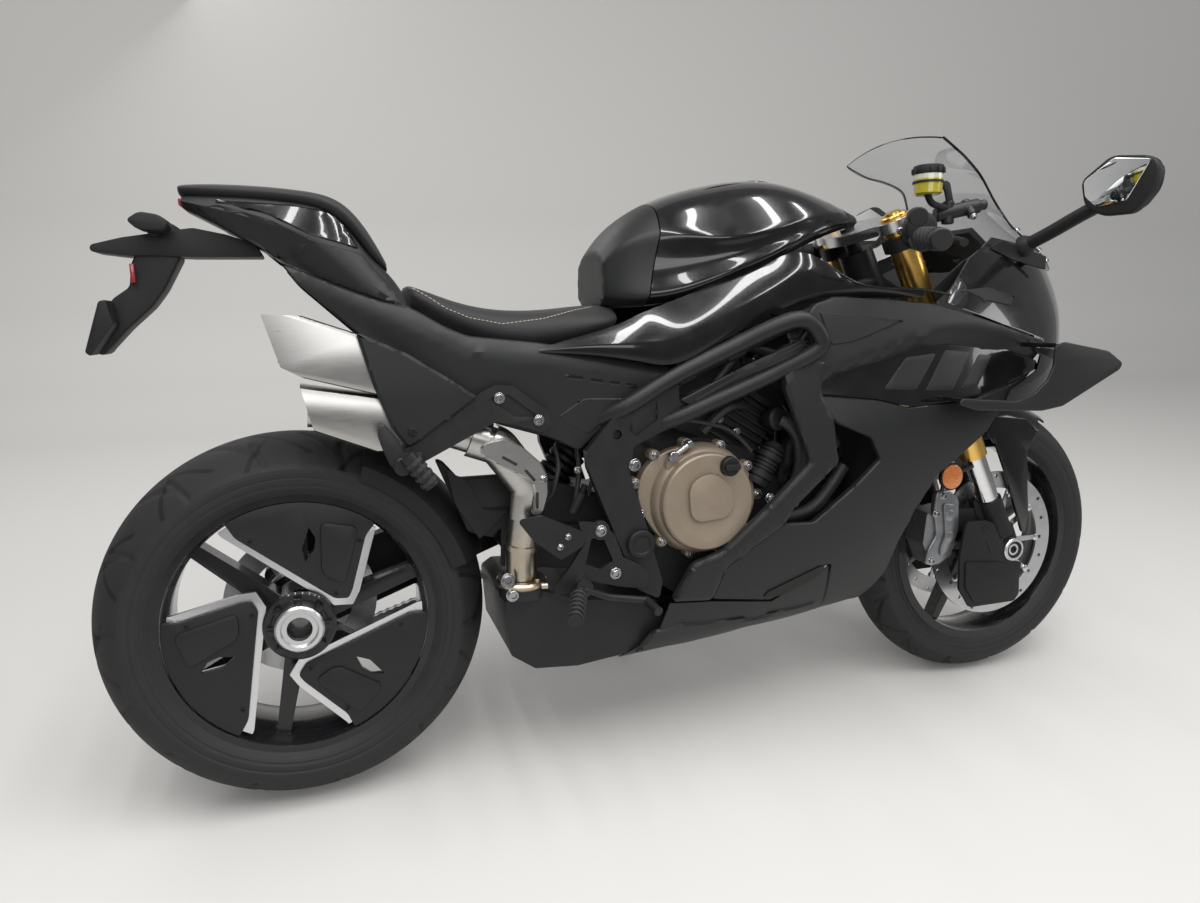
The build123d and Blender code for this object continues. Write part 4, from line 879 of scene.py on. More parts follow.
def windscreen():
    rows = [[(x - 8 * (1 - s * s), s * half, edge + (middle - edge) * (1 - s * s))
             for s in (-1, -0.97, -0.8, -0.45, 0, 0.45, 0.8, 0.97, 1)] for x, half, edge, middle in SCREEN]
    show("screen_bubble", sheet(rows, 3, 3.0, UP), "smoked_screen", replaces=["windscreen"])
    seal = hose([(x, half * 0.985, edge + 1) for x, half, edge, _ in SCREEN[:7]], 1.8)
    show("screen_edge_seals", both(seal), "moulded_plastic")
    screws = [bolt((x, y, z), (0, 0.8, 0.6), 4, 2.5) for x, y, z in ((1385, 135.9, 956.4),
                                                                     (1450, 127.8, 919.6),
                                                                     (1510, 90, 900.6))]
    show("screen_bolts", both(*screws), "hard_chrome")


# ---- tank ----
TANK = [    # x, then (z, half width) from bottom to top
    (540, ((826, 56), (842, 80), (872, 80), (898, 74), (914, 52), (922, 24))),
    (575, ((820, 96), (836, 118), (880, 106), (938, 102), (960, 68), (970, 28))),
    (650, ((826, 128), (842, 146), (890, 126), (950, 136), (996, 94), (1016, 38))),
    (740, ((860, 148), (876, 164), (905, 148), (932, 160), (1010, 114), (1042, 44))),
    (840, ((897, 154), (914, 170), (934, 160), (952, 166), (1028, 118), (1058, 46))),
    (915, ((932, 146), (948, 164), (962, 162), (978, 156), (1024, 112), (1049, 46))),
    (1000, ((958, 114), (968, 132), (978, 128), (988, 118), (1008, 84), (1020, 38))),
    (1044, ((964, 86), (972, 94), (979, 92), (984, 84), (992, 60), (997, 30))),
]
TANK_CREASES = {0: 0.6, 1: 0.35, 3: 0.45, "ends": 0.6}
FUEL_CAP, FUEL_CAP_AXIS = (880, 0, 1042), (0.12, 0, 1)


def tank():
    whole = smooth_hull(TANK, TANK_CREASES)
    rear_at, rear_normal = (600, 0, 800), (-230, 0, 48)
    front_at, front_normal = (985, 0, 900), (130, 0, -30)
    middle = halved(halved(whole.copy(), rear_at, rear_normal), front_at, front_normal)
    show("tank_shell", middle, "gloss_paint", replaces=["fuel_tank"])
    gap = Vector((2.0, 0, 0))
    rear = halved(whole.copy(), Vector(rear_at) - gap, -Vector(rear_normal))
    front = halved(whole, Vector(front_at) + gap, -Vector(front_normal))
    show("tank_end_covers", [rear, front], "matte_paint", replaces=["tank_covers"])
    strip = [[(x, y, z + 6 - abs(y) * 0.09 * rise) for y in (-64, -40, 0, 40, 64)]
             for x, z, rise in ((716, 1020, 1.4), (740, 1032, 1.2), (800, 1042, 1), (870, 1044, 1),
                                (930, 1034, 1.1), (965, 1018, 1.3))]
    show("tank_top_strip", sheet(strip, 3, 5.0, UP), "matte_paint")
    lid = lathe([(0, 0), (0, 42), (4, 42), (6, 40), (6, 31), (9, 30), (10, 28), (10, 0)], FUEL_CAP,
                FUEL_CAP_AXIS, 48)
    show("fuel_lid", lid, "moulded_plastic")
    screws = [bolt((FUEL_CAP[0] + 35 * math.cos(a), 35 * math.sin(a), FUEL_CAP[2] + 6 - 4 * math.cos(a)),
                   FUEL_CAP_AXIS, 3, 2, False) for a in turns(6)]
    show("fuel_lid_screws", screws, "hard_chrome")


# gloss panels under the tank: x, then (z, half width) from the lower to the upper edge
UNDER_TANK = [
    (400, ((752, 164), (754, 165), (756, 164), (759, 162))),
    (471, ((748, 172), (760, 174), (768, 170), (776, 160))),
    (540, ((738, 180), (760, 184), (778, 172), (792, 154))),
    (582, ((729, 182), (757, 187), (784, 174), (812, 144))),
    (629, ((719, 184), (752, 189), (790, 174), (826, 142))),
    (718, ((762, 183), (790, 189), (824, 178), (858, 148))),
    (817, ((808, 182), (832, 187), (864, 178), (896, 154))),
    (880, ((831, 181), (856, 186), (892, 182), (918, 169))),
    (925, ((832, 182), (850, 187), (872, 186), (893, 173))),
    (953, ((833, 184), (845, 188), (855, 189), (865, 188))),
    (985, ((831, 189), (837, 193), (842, 196), (848, 198))),
    (1059, ((829, 199), (834, 202), (838, 204), (842, 205))),
    (1110, ((827, 206), (832, 207), (837, 207), (842, 206))),
]


def under_tank():
    rows = [[(x, width, z) for z, width in sides] for x, sides in UNDER_TANK]
    show("under_tank_panels", both(sheet(rows, 3, 3.5)), "gloss_paint", replaces=["tank_side_panels"])
    inner = [(815, 806), (900, 786), (955, 796), (955, 846), (900, 852), (838, 850)]
    panels("under_tank_inner_panels", [inner], lambda x, z: 148, 0, "moulded_plastic", (3, 3), 5, 6)
    rim_rows = [[(x, width + 0.5, z), (x, width + 3, z + 2.5), (x, width + 0.5, z + 5)]
                for x, z, width in ((925, 890, 173), (953, 864, 188), (985, 847, 198), (1059, 841, 205),
                                    (1110, 841, 206), (1160, 829, 219))]
    show("cockpit_rims", both(sheet(rim_rows, 2, 3)), "gloss_paint")


# ---- seats and tail ----
SEAT = [    # x, then (z, half width) from bottom to top
    (206, ((824, 62), (836, 82), (850, 90), (862, 78), (868, 50))),
    (236, ((802, 88), (818, 108), (838, 110), (852, 96), (856, 60))),
    (275, ((782, 106), (800, 122), (820, 122), (836, 104), (839, 62))),
    (330, ((764, 118), (780, 132), (804, 130), (822, 108), (824, 64))),
    (395, ((757, 122), (772, 136), (797, 132), (817, 108), (820, 62))),
    (455, ((764, 108), (778, 122), (800, 120), (819, 98), (822, 56))),
    (505, ((774, 106), (788, 122), (806, 116), (822, 88), (827, 50))),
    (540, ((784, 100), (796, 114), (809, 104), (822, 76), (829, 44))),
    (564, ((797, 84), (803, 92), (811, 84), (821, 60), (828, 36))),
]
SEAT_CREASES = {0: 0.7, "ends": 0.3}
SEAT_SEAM = [(214, 859), (236, 844), (260, 826), (296, 810), (348, 799), (420, 806), (482, 819), (524, 825)]
PILLION = [    # x, then (z, half width) from bottom to top
    (-124, ((1004, 26), (1010, 38), (1016, 38), (1021, 22))),
    (-90, ((1001, 44), (1008, 56), (1016, 54), (1023, 34))),
    (-20, ((996, 66), (1004, 76), (1014, 72), (1021, 44))),
    (50, ((990, 80), (998, 90), (1008, 86), (1014, 50))),
    (95, ((978, 88), (988, 97), (1000, 92), (1007, 54))),
    (125, ((950, 90), (964, 99), (980, 94), (988, 54))),
    (152, ((908, 90), (924, 98), (942, 92), (952, 52))),
    (176, ((882, 78), (888, 88), (896, 84), (902, 50))),
]
TAIL = [    # x, then (z, half width) from bottom to top
    (-120, ((985, 30), (994, 44), (1003, 34))),
    (-50, ((948, 60), (975, 78), (1002, 60))),
    (30, ((900, 92), (950, 104), (993, 82))),
    (90, ((850, 104), (920, 116), (983, 92))),
    (122, ((826, 108), (890, 120), (950, 96))),
    (150, ((818, 112), (860, 122), (905, 96))),
    (180, ((815, 116), (840, 124), (883, 88))),
    (212, ((812, 118), (820, 122), (825, 90))),
]
TAIL_CREASES = {0: 0.8, 1: 0.7, 2: 0.8, "ends": 0.9}
GLOSS_WEDGE = [(-72, 994), (6, 970), (62, 939), (134, 918), (112, 962), (92, 976), (37, 986)]
TAIL_SIDE = [(-100, 984), (-64, 954), (-28, 940), (14, 902), (50, 885), (88, 868), (120, 854), (196, 826),
             (212, 826), (170, 872), (138, 912), (66, 932), (8, 964), (-66, 988)]
TAIL_SLOT = [(30, 918), (44, 926), (58, 925), (46, 906), (34, 908)]
SIDE_PANEL = [(15, 900), (50, 884), (88, 866), (152, 840), (205, 826), (250, 798), (286, 782), (400, 768),
              (520, 746), (630, 718), (560, 664), (508, 624), (466, 584), (419, 609), (324, 640),
              (286, 664), (246, 694), (178, 738), (126, 786), (79, 830), (37, 870)]
SIDE_RIDGE = [(46, 880), (141, 828), (245, 783), (283, 759), (403, 742), (612, 705)]
PATCH = [(428, 645), (474, 674), (546, 670), (482, 612)]
SIDE_SLOTS = [[(439, 716), (470, 711), (474, 703), (448, 706)], [(482, 708), (506, 704), (508, 696),
                                                                 (484, 700)],
              [(516, 702), (536, 699), (536, 691), (518, 694)], [(546, 697), (566, 694), (566, 686),
                                                                 (548, 689)],
              [(461, 655), (469, 655), (470, 672), (462, 672)]]


def side_height(x, z):
    """Side panel: upright below its ridge, leaning in above it."""
    above = z - level(SIDE_RIDGE, x)
    narrow = 50 * (1 - eased(x, 20, 260))
    return 168 - narrow - (0.55 * above if above > 0 else -0.10 * above)


def stitches(path, skin, spacing=7.0):
    """Short threads along a seam on both sides of a pad."""
    threads = []
    for (xa, za), (xb, zb) in zip(path, path[1:]):
        run = math.hypot(xb - xa, zb - za)
        count = max(1, round(run / spacing))
        for i in range(count):
            ends = []
            for share in (i / count, (i + 0.62) / count):
                x, z = xa + (xb - xa) * share, za + (zb - za) * share
                ends.append((x, skin.width(x, z) + 0.4, z))
            threads.append(rod(*ends, 0.75, 6))
    return both(*threads)


def seats():
    pad = smooth_hull(SEAT, SEAT_CREASES)
    made = show("rider_seat_pad", pad, "seat_leather", replaces=["rider_seat"], smooth=60)
    show("rider_seat_stitches", stitches(SEAT_SEAM, Skin(SEAT, SEAT_CREASES)), "stitching", smooth=60)
    pad = smooth_hull(PILLION, {0: 0.7, "ends": 0.4})
    made = show("pillion_pad", pad, "seat_leather", replaces=["passenger_seat"], smooth=60)


def tail():
    show("tail_moulding", smooth_hull(TAIL, TAIL_CREASES), "matte_paint", replaces=["tail_cowl"])
    over = Skin(TAIL, TAIL_CREASES).width
    panels("tail_gloss_wedges", [GLOSS_WEDGE], over, 3, "gloss_paint")
    panels("tail_side_mouldings", [TAIL_SIDE], over, 1.5, "matte_paint", skirt=4)
    panels("tail_slots", [TAIL_SLOT], over, 2.6, "moulded_plastic", (1, 0.5), 2, 3)
    panels("subframe_side_panels", [SIDE_PANEL], side_height, 0, "matte_paint", radius=8,
           replaces=["tail_side_panels"])
    panels("side_panel_patches", [PATCH], side_height, 1.0, "matte_paint", (1.5, 1), 1.5, 7)
    panels("side_panel_slots", SIDE_SLOTS, side_height, 0.5, "gloss_paint", (0.8, 0.3), 0.8, 2, 10)
    lamp = plate([(-124, 988), (-112, 985), (-112, 995), (-124, 1000)], -34, 34, 3, 1.5)
    show("tail_light", lamp, "red_lens", replaces=["tail_lamp"])


# ---- exhaust ----
UPPER_CAN = [(8, 744), (-13, 821), (43, 818), (120, 790), (188, 754), (248, 710), (252, 690), (150, 694),
             (39, 726)]
LOWER_CAN = [(48, 644), (32, 715), (152, 692), (262, 676), (268, 612), (138, 606)]
UPPER_MOUTH = [(-40, 812), (24, 811), (60, 800), (66, 734), (46, 731), (20, 745), (-20, 752)]
LOWER_MOUTH = [(0, 712), (42, 706), (84, 698), (84, 632), (62, 646), (20, 652)]
MUFFLER_OUT, MUFFLER_IN = -163.0, -95.0


def can(shape):
    """Silencer can with broad flats along its outer edges."""
    bm = prism(shape, MUFFLER_OUT, MUFFLER_IN)
    outer = [e for e in bm.edges if all(abs(v.co.y - MUFFLER_OUT) < 0.1 for v in e.verts)]
    outer = [e for e in outer if max(v.co.x for v in e.verts) > 60]
    bmesh.ops.bevel(bm, geom=outer, offset=15, affect="EDGES", segments=2, profile=0.6, material=-1,
                    clamp_overlap=True)
    return bm


def mufflers():
    upper = carved(can(UPPER_CAN), prism(UPPER_MOUTH, MUFFLER_OUT + 6, MUFFLER_IN - 6))
    lower = carved(can(LOWER_CAN), prism(LOWER_MOUTH, MUFFLER_OUT + 6, MUFFLER_IN - 6))
    show("muffler_cans", [upper, lower], "muffler_steel", replaces=["mufflers"], bevel=1.2)
    # near-black blocks inside the mouths: painted shade in the openings, with soot
    inside = [prism([(40, 806), (56, 800), (60, 738), (46, 736)], MUFFLER_OUT + 7, MUFFLER_IN - 7),
              prism([(64, 700), (80, 697), (80, 640), (66, 644)], MUFFLER_OUT + 7, MUFFLER_IN - 7)]
    show("muffler_mouth_soot_and_shade", inside, "soot_and_painted_shade")
    pipes = [ring(22, 26, 44, (50, -129, 770), (-1, 0, 0.1), 32), ring(20, 24, 34, (74, -129, 670),
                                                                       (-1, 0, 0.1), 32)]
    show("muffler_tips", pipes, "pipe_steel")
    cover = draped([(117, 793), (187, 760), (254, 716), (296, 686), (240, 648), (184, 610), (162, 642),
                    (137, 712)], lambda x, z: 178 + 5 * eased(x, 130, 220) - 0.03 * abs(z - 700), (5, 5.5),
                   10, 8)
    show("muffler_side_cover", flipped(cover), "matte_paint", replaces=["muffler_cover"])
    show("muffler_cover_bolt", bolt((191, -179, 639), RIGHT, 6, 3), "moulded_plastic")


def heat_shield():
    """Sheet shield over the bend of the link pipe, its slots near-black plates laid on it as painted shade."""
    shield = [(296, 603), (302, 612), (337, 618), (367, 600), (397, 571), (407, 549), (407, 518),
              (397, 487), (377, 486), (383, 520), (379, 541), (352, 558), (322, 576), (299, 588)]
    sheet_metal = draped(shield, lambda x, z: 168, (3, 3), 2.5, 5)
    # each slot is a near-black plate on the shield: painted shade in place of an opening
    slots = []
    for start, end in (((331, 587), (355, 572)), ((368, 563), (384, 543)), ((387, 524), (386, 496))):
        middle = (Vector((start[0], 0, start[1])) + Vector((end[0], 0, end[1]))) / 2
        run = Vector((end[0] - start[0], 0, end[1] - start[1]))
        side = Vector((-run.z, 0, run.x)).normalized() * 2.4
        corners = [middle + run / 2 * a + side * b for a, b in ((-1, -1), (1, -1), (1, 1), (-1, 1))]
        slots.append(plate([(c.x, c.z) for c in corners], -169, -167, 2, 0.4))
    show("heat_shield", flipped(sheet_metal), "muffler_steel")
    show("heat_shield_slot_painted_shade", slots, "soot_and_painted_shade")
    show("heat_shield_bolt", bolt((398, -168, 544), RIGHT, 5, 4), "bright_bolt")


def exhaust_trim():
    clamp = [lathe([(-5, 30), (-5, 41), (-1, 44), (3, 44), (7, 41), (7, 30), (-5, 30)],
                   (366.5, -112.8, 358), (0.03, -0.06, 1), 40), rod((392, -150, 357), (404, -152, 357), 6,
                                                                    16, 1),
             rod((388, -140, 349), (388, -140, 367), 5, 16, 1)]
    show("exhaust_clamp", clamp, "pipe_steel")
    show("exhaust_bolts", [bolt((336, -146, 372), (0, -1, 0.1), 9, 6), bolt((344, -146, 346), RIGHT, 9, 6)],
         "bright_bolt")


# ---- rear wheel ----
COVER_EDGE = [(-107, 160), (56, 25), (86, 23), (98, 45), (130, 148)]
COVER_TOP = [(-86, 156), (58, 38), (80, 36), (87, 50), (114, 140)]
COVER_BLISTER = [(44, 172), (104, 158), (76, 62), (40, 84)]
COVER_SLOT = [(26, 164), (35, 145), (32, 127), (16, 106), (13, 130)]


def turned(bm, axle, degrees):
    """The mesh turned about an axle line, from +X towards +Z."""
    centre = Matrix.Translation(axle)
    turn = centre @ Matrix.Rotation(-math.radians(degrees), 4, "Y") @ centre.inverted()
    bmesh.ops.transform(bm, matrix=turn, verts=bm.verts[:])
    return bm


def from_axle(points, axle, arc_radius=0.0):
    """Outline given from the axle; its last side may be an arc about the axle back to its first point."""
    placed = [(axle.x + x, axle.z + z) for x, z in points]
    if arc_radius:
        start = math.atan2(points[-1][1], points[-1][0])
        end = math.atan2(points[0][1], points[0][0])
        for i in range(11):
            angle = start + (end - start) * i / 10
            placed.append((axle.x + arc_radius * math.cos(angle), axle.z + arc_radius * math.sin(angle)))
    return placed


def wheel_covers():
    backs, faces = [], []
    for turn in (0, 120, 240):
        slot = from_axle(COVER_SLOT, REAR_AXLE)
        back = plate(from_axle(COVER_EDGE, REAR_AXLE, 200), -67, -62, 3, 0.8)
        back = carved(back, prism(slot, -80, -50, 2))
        face = plate(from_axle(COVER_TOP, REAR_AXLE, 208), -74, -66, 5, 2.4)
        face = carved(face, prism(slot, -80, -50, 2))
        blister = plate(from_axle(COVER_BLISTER, REAR_AXLE), -79, -73, 12, 3.0)
        backs.append(turned(back, REAR_AXLE, turn))
        faces.append(turned(joined(face, blister), REAR_AXLE, turn))
    show("cover_bright_edges", backs, "machined_alloy", "rear_wheel", smooth=40)
    show("cover_faces", faces, "matte_paint", "rear_wheel", ["rear_wheel_covers"], smooth=25)
    bolts = [turned(bolt((x, -74, REAR_AXLE.z + z), RIGHT, 3.5, 2, False), REAR_AXLE, turn)
             for turn in (0, 120, 240) for x, z in ((60, 48), (104, 134), (-64, 150))]
    show("cover_bolts", bolts, "moulded_plastic", "rear_wheel")


def rear_hub():
    flange = lathe([(0, 30), (0, 56), (3, 58), (6, 58), (8, 55), (8, 46), (11, 44), (11, 30), (0, 30)],
                   REAR_AXLE + Vector((0, -70, 0)), RIGHT, 64)
    nut = lathe([(0, 20), (0, 40), (14, 39), (17, 36), (17, 30), (13, 27), (13, 20), (0, 20)],
                REAR_AXLE + Vector((0, -80, 0)), RIGHT, 64)
    tabs = [turned(plate([(38, 309), (50, 309), (50, 321), (38, 321)], -90, -81, 1, 0.8), REAR_AXLE, 45 * i)
            for i in range(8)]
    show("rear_hub_flange", flange, "wheel_enamel", "rear_wheel")
    show("rear_hub_tabs", tabs, "wheel_enamel", "rear_wheel")
    show("rear_hub_nut", nut, "machined_alloy", "rear_wheel", ["rear_spindle"])


CROWN_ARC = math.radians(62)    # how far the round of a tyre's tread reaches each side
GROOVE_DEEP = 4.0
REPEATS = 14    # of the tread pattern round a tyre


def groove_depth(turn, across):
    """How deep the tread is cut, 0 to 1; across runs from 0 in the middle to 1 at the shoulder."""
    pitch = turn * REPEATS / math.tau
    long_cut = (pitch + 0.85 * across) % 1.0
    short_cut = (pitch + 0.5 + 0.25 * across) % 1.0
    deep = 0.0
    if 0.16 < across < 0.82:
        deep = 1 - eased(abs(long_cut - 0.5), 0.022, 0.05)
    if 0.48 < across < 1.0:
        deep = max(deep, 1 - eased(abs(short_cut - 0.5), 0.018, 0.045))
    return deep


def tyre(name, node, body, finish, axle, radius, half):
    """Tyre with cut grooves, a buttress and rings on its sidewalls."""
    shoulder_r = radius - 0.52 * half
    profile = []
    for i in range(33):
        angle = CROWN_ARC * (i / 16 - 1)
        spread = math.sin(angle) / math.sin(CROWN_ARC)
        drop = (1 - math.cos(angle)) / (1 - math.cos(CROWN_ARC))
        profile.append(((half - 2) * spread, radius - (radius - shoulder_r) * drop))
    wall = [(half - 0.5, shoulder_r - 6), (half, shoulder_r - 14), (half - 0.6, 252), (half - 1.6, 251),
            (half - 1.9, 249), (half - 1.4, 248), (half - 4, 238), (half - 5.2, 237), (half - 5.4, 235),
            (half - 5.0, 234), (half - 11, 224), (half - 13.5, 222), (half - 14.5, 219.5), (half - 22, 219)]
    wall = [(y, r) for y, r in wall if r < shoulder_r - 5]
    profile = [(-y, r) for y, r in reversed(wall)] + profile + wall
    bm = bmesh.new()
    verts = [bm.verts.new((0, y, r)) for y, r in profile]
    edges = [bm.edges.new(pair) for pair in zip(verts, verts[1:])]
    bmesh.ops.spin(bm, geom=verts + edges, cent=(0, 0, 0), axis=(0, 1, 0), angle=math.tau, steps=504,
                   use_merge=True)
    face_towards(bm, UP, [f for f in bm.faces if f.calc_center_median().z > radius - 40])
    for vert in bm.verts:
        reach = math.hypot(vert.co.x, vert.co.z)
        if reach < shoulder_r - 1:
            continue
        across = abs(vert.co.y) / (half - 2)
        turn = math.atan2(vert.co.z, vert.co.x) + (0.11 if vert.co.y > 0 else 0.0)
        scale = 1 - GROOVE_DEEP * groove_depth(turn, across) / reach
        vert.co.x *= scale
        vert.co.z *= scale
    bmesh.ops.translate(bm, vec=axle, verts=bm.verts[:])
    show(name, bm, finish, body, [node], smooth=50)


def wheels():
    wheel_covers()
    rear_hub()
    tyre("rear_tyre_cut", "rear_tyre", "rear_wheel", "rear_rubber", REAR_AXLE, REAR_R, REAR_HALF)
    tyre("front_tyre_cut", "front_tyre", "front_wheel", "front_rubber", FRONT_AXLE, FRONT_R, FRONT_HALF)
    buttons = [turned(lathe([(-1, 0), (-1, 7), (1.5, 7), (2.5, 5), (2.5, 0)],
                            (FRONT_AXLE.x + 118, side * 72.5, FRONT_AXLE.z), (0, side, 0), 20), FRONT_AXLE,
                      36 * i) for i in range(10) for side in (-1, 1)]
    show("disc_buttons", buttons, "machined_alloy", "front_wheel")


# ---- engine ----
CYLINDER_LEAN = math.radians(32)
CLUTCH_BOLTS = [(602, 567), (565, 520), (575, 465), (614, 411), (669, 385), (728, 387), (780, 418),
                (803, 480), (783, 534), (729, 575), (663, 583)]


def clutch_cover():
    flange = plate(CLUTCH_BOLTS, -154, -132, 26, 3.0, 3)
    ears = [lathe([(0, 0), (0, 10), (20, 10), (22, 8), (22, 0)], (x, -132, z), RIGHT, 24)
            for x, z in CLUTCH_BOLTS]
    dome = lathe([(-10, 0), (-10, 101), (-1, 100), (8, 97), (16, 94), (19, 91), (22, 88), (34, 86),
                  (37, 83), (37, 62), (35, 58), (35, 0)], (CLUTCH[0], -150, CLUTCH[1]), RIGHT, 96)
    pad = plate([(655, 448), (735, 452), (740, 500), (700, 538), (650, 520)], -190, -184, 22, 2.5)
    neck = lathe([(0, 0), (0, 26), (30, 24), (34, 20), (34, 0)], (642, -136, 545), RIGHT, 40)
    show("clutch_casting", [flange, dome, pad, neck, *ears], "bronze_coat", replaces=["clutch_cover"],
         smooth=30)
    show("clutch_bolts", [bolt((x, -154, z), RIGHT, 5.4, 6) for x, z in CLUTCH_BOLTS], "bright_bolt")
    cap = lathe([(0, 0), (0, 17), (4, 18), (16, 17), (18, 15), (18, 0)], (728, -180, 544), RIGHT, 32)
    wing = plate([(714, 539), (742, 539), (742, 549), (714, 549)], -206, -197, 3, 1.2)
    show("oil_cap", [cap, wing], "moulded_plastic")
    arm = [rod((628, -172, 566), (660, -172, 586), 5, 16, 1), rod((628, -166, 566), (628, -180, 566), 9, 20,
                                                                  1),
           rod((660, -160, 586), (660, -178, 586), 6, 16, 1)]
    show("clutch_lever_arm", arm, "bright_bolt")


def engine_trim():
    """Oil filter, water outlet, hoses, wires, switch and bolts beside the cylinders."""
    lean = Vector((math.sin(CYLINDER_LEAN), 0, math.cos(CYLINDER_LEAN)))
    foot = Vector((800, -150, 500))
    ribbed = lathe([(0, 0), (0, 21), (6, 22)] + [(8 + 7 * i + d, r) for i in range(9)
                                                 for d, r in ((0, 22), (4, 22), (4.6, 19),
                                                              (6.4, 19))] + [(72, 22), (78, 17), (84, 12),
                                                                             (84, 0)], foot, lean, 40)
    straps = [ring(20, 24, 9, foot + lean * d, lean) for d in (14, 52)]
    show("oil_filter_can", [ribbed, *straps], "moulded_plastic")
    outlet = lathe([(0, 0), (0, 20), (5, 22), (24, 22), (28, 17), (34, 15), (34, 0)], (842, -128, 614),
                   (0.2, -1, 0.1), 36)
    show("water_outlet", outlet, "cast_alloy")
    hoses = [hose([(846, -160, 614), (862, -172, 606), (880, -170, 570), (884, -165, 520),
                   (868, -160, 470)], 11), hose([(790, -130, 640), (760, -150, 650), (726, -148, 632),
                                                 (700, -140, 600)], 8),
             hose([(866, -150, 690), (900, -160, 660), (930, -165, 610), (960, -160, 560)], 12),
             hose([(870, -150, 430), (900, -168, 440), (940, -165, 470), (980, -160, 520)], 12)]
    show("coolant_hoses", hoses, "hose_rubber")
    wires = [hose([(620, -140, 640), (650, -152, 628), (700, -150, 618), (760, -146, 600),
                   (792, -150, 560)], 4), hose([(628, -140, 650), (660, -150, 640), (720, -146, 640),
                                                (780, -140, 650)], 3.5),
             hose([(470, -118, 600), (474, -124, 560), (470, -126, 520), (462, -120, 480)], 4.5),
             hose([(434, -112, 590), (440, -122, 560), (430, -126, 530), (424, -118, 500),
                   (400, -112, 480)], 4), hose([(500, -110, 600), (494, -124, 570), (500, -128, 540),
                                                (490, -118, 500)], 3.5)]
    show("wiring_and_lines", wires, "hose_rubber")
    sensor = [rod((478, -122, 506), (458, -124, 470), 10, 20, 2), rod((484, -122, 520), (478, -122, 506), 6,
                                                                      12, 1)]
    show("brake_light_switch", sensor, "moulded_plastic")
    fittings = [bolt((827, -156, 471), RIGHT, 7, 7), bolt((557, -174, 557), RIGHT, 8, 7),
                bolt((872, -150, 600), (0.1, -1, 0), 6, 5), bolt((812, -128, 724), RIGHT, 6, 5),
                bolt((864, -128, 694), RIGHT, 6, 5), bolt((470, -128, 548), (0, -1, 0.2), 5, 8),
                bolt((736, -134, 620), RIGHT, 5, 5), bolt((770, -134, 596), RIGHT, 5, 5)]
    show("engine_bolts", fittings, "bright_bolt")


def engine():
    clutch_cover()
    engine_trim()
    bolts = [bolt((x, 160, z), LEFT, 5, 5) for x, z in ((622, 474), (700, 480), (700, 384), (622, 380))]
    bolts += [bolt((795 + 78 * math.cos(a), 145, 430 + 78 * math.sin(a)), LEFT, 4.6, 5) for a in turns(9)]
    show("left_cover_bolts", bolts, "bright_bolt")


# ---- frame and footrests ----
def frame_trim():
    infill = plate([(626, 648), (628, 660), (866, 754), (884, 752), (892, 742)], -162, -154, 4, 2)
    groove = plate([(660, 664), (664, 670), (850, 744), (860, 738)], -165, -161, 3, 1.5)
    show("frame_infills", both(infill, groove), "moulded_plastic")
    loop = hose([(496, 140, 630), (520, 160, 643), (560, 176, 666), (620, 178, 701), (741, 186, 753),
                 (800, 214, 784), (836, 226, 797), (862, 230, 790), (884, 230, 760), (882, 228, 744),
                 (850, 214, 724), (788, 186, 691), (690, 178, 654), (640, 172, 634), (604, 156, 620),
                 (584, 138, 612)], 15)
    web = draped([(640, 664), (742, 708), (812, 742), (856, 762), (866, 752), (848, 736), (780, 704),
                  (660, 652)], lambda x, z: 180 + 36 * eased(x, 740, 850), (2, 1.5), 6, 4)
    # near-black strip along the web: painted shade in its slit
    slit = draped([(664, 663), (742, 699), (812, 733), (850, 754), (853, 750), (780, 711), (668, 659)],
                  lambda x, z: 181.5 + 36 * eased(x, 740, 850), (0.8, 0.3), 0.8, 2, 10)
    show("frame_loops", both(loop, web), "powder_coat")
    show("frame_loop_slit_painted_shade", both(slit), "soot_and_painted_shade")
    sleeves = [ring(11, 18.5, length, (x, side * 160, z), (0.93, 0, 0.365), 40, (6, 1))
               for x, z, length in ((730, 736, 36), (640, 701, 32)) for side in (-1, 1)]
    show("frame_tube_sleeves", sleeves, "powder_coat")
    cap = lathe([(0, 0), (0, 25), (8, 25), (10, 23), (10, 17), (8, 15), (8, 0)], (565, -173, 418), RIGHT, 48)
    show("pivot_cap", cap, "moulded_plastic")
    holes = [bolt((527, side * 166, 611), (0, side, 0), 7, 2, False) for side in (-1, 1)]
    holes += [bolt((912, side * 203, 790), (0, side, 0), 5, 3, False) for side in (-1, 1)]
    show("frame_bolts", holes, "moulded_plastic")


def mudguard_tongue():
    """Front end of the rear mudguard beside the shock, a dished tongue, and the shroud of the pivot."""
    tongue = [(234, 576), (282, 448), (327, 433), (338, 448), (366, 448), (366, 476), (360, 540),
              (272, 541), (246, 573)]
    dish = draped(tongue, lambda x, z: 92 - 14 * eased(z, 470, 540), (4, 3), 10, 6)
    shroud = plate([(336, 380), (420, 368), (552, 346), (552, 432), (430, 446), (340, 452)], -88, -84, 6,
                   1.5)
    show("pivot_shroud", shroud, "moulded_plastic")
    lip = draped([(282, 480), (292, 470), (352, 474), (356, 486), (300, 488)], lambda x, z: 94, (2, 2), 6, 4)
    show("mudguard_tongue", flipped(joined(dish, lip)), "moulded_plastic")


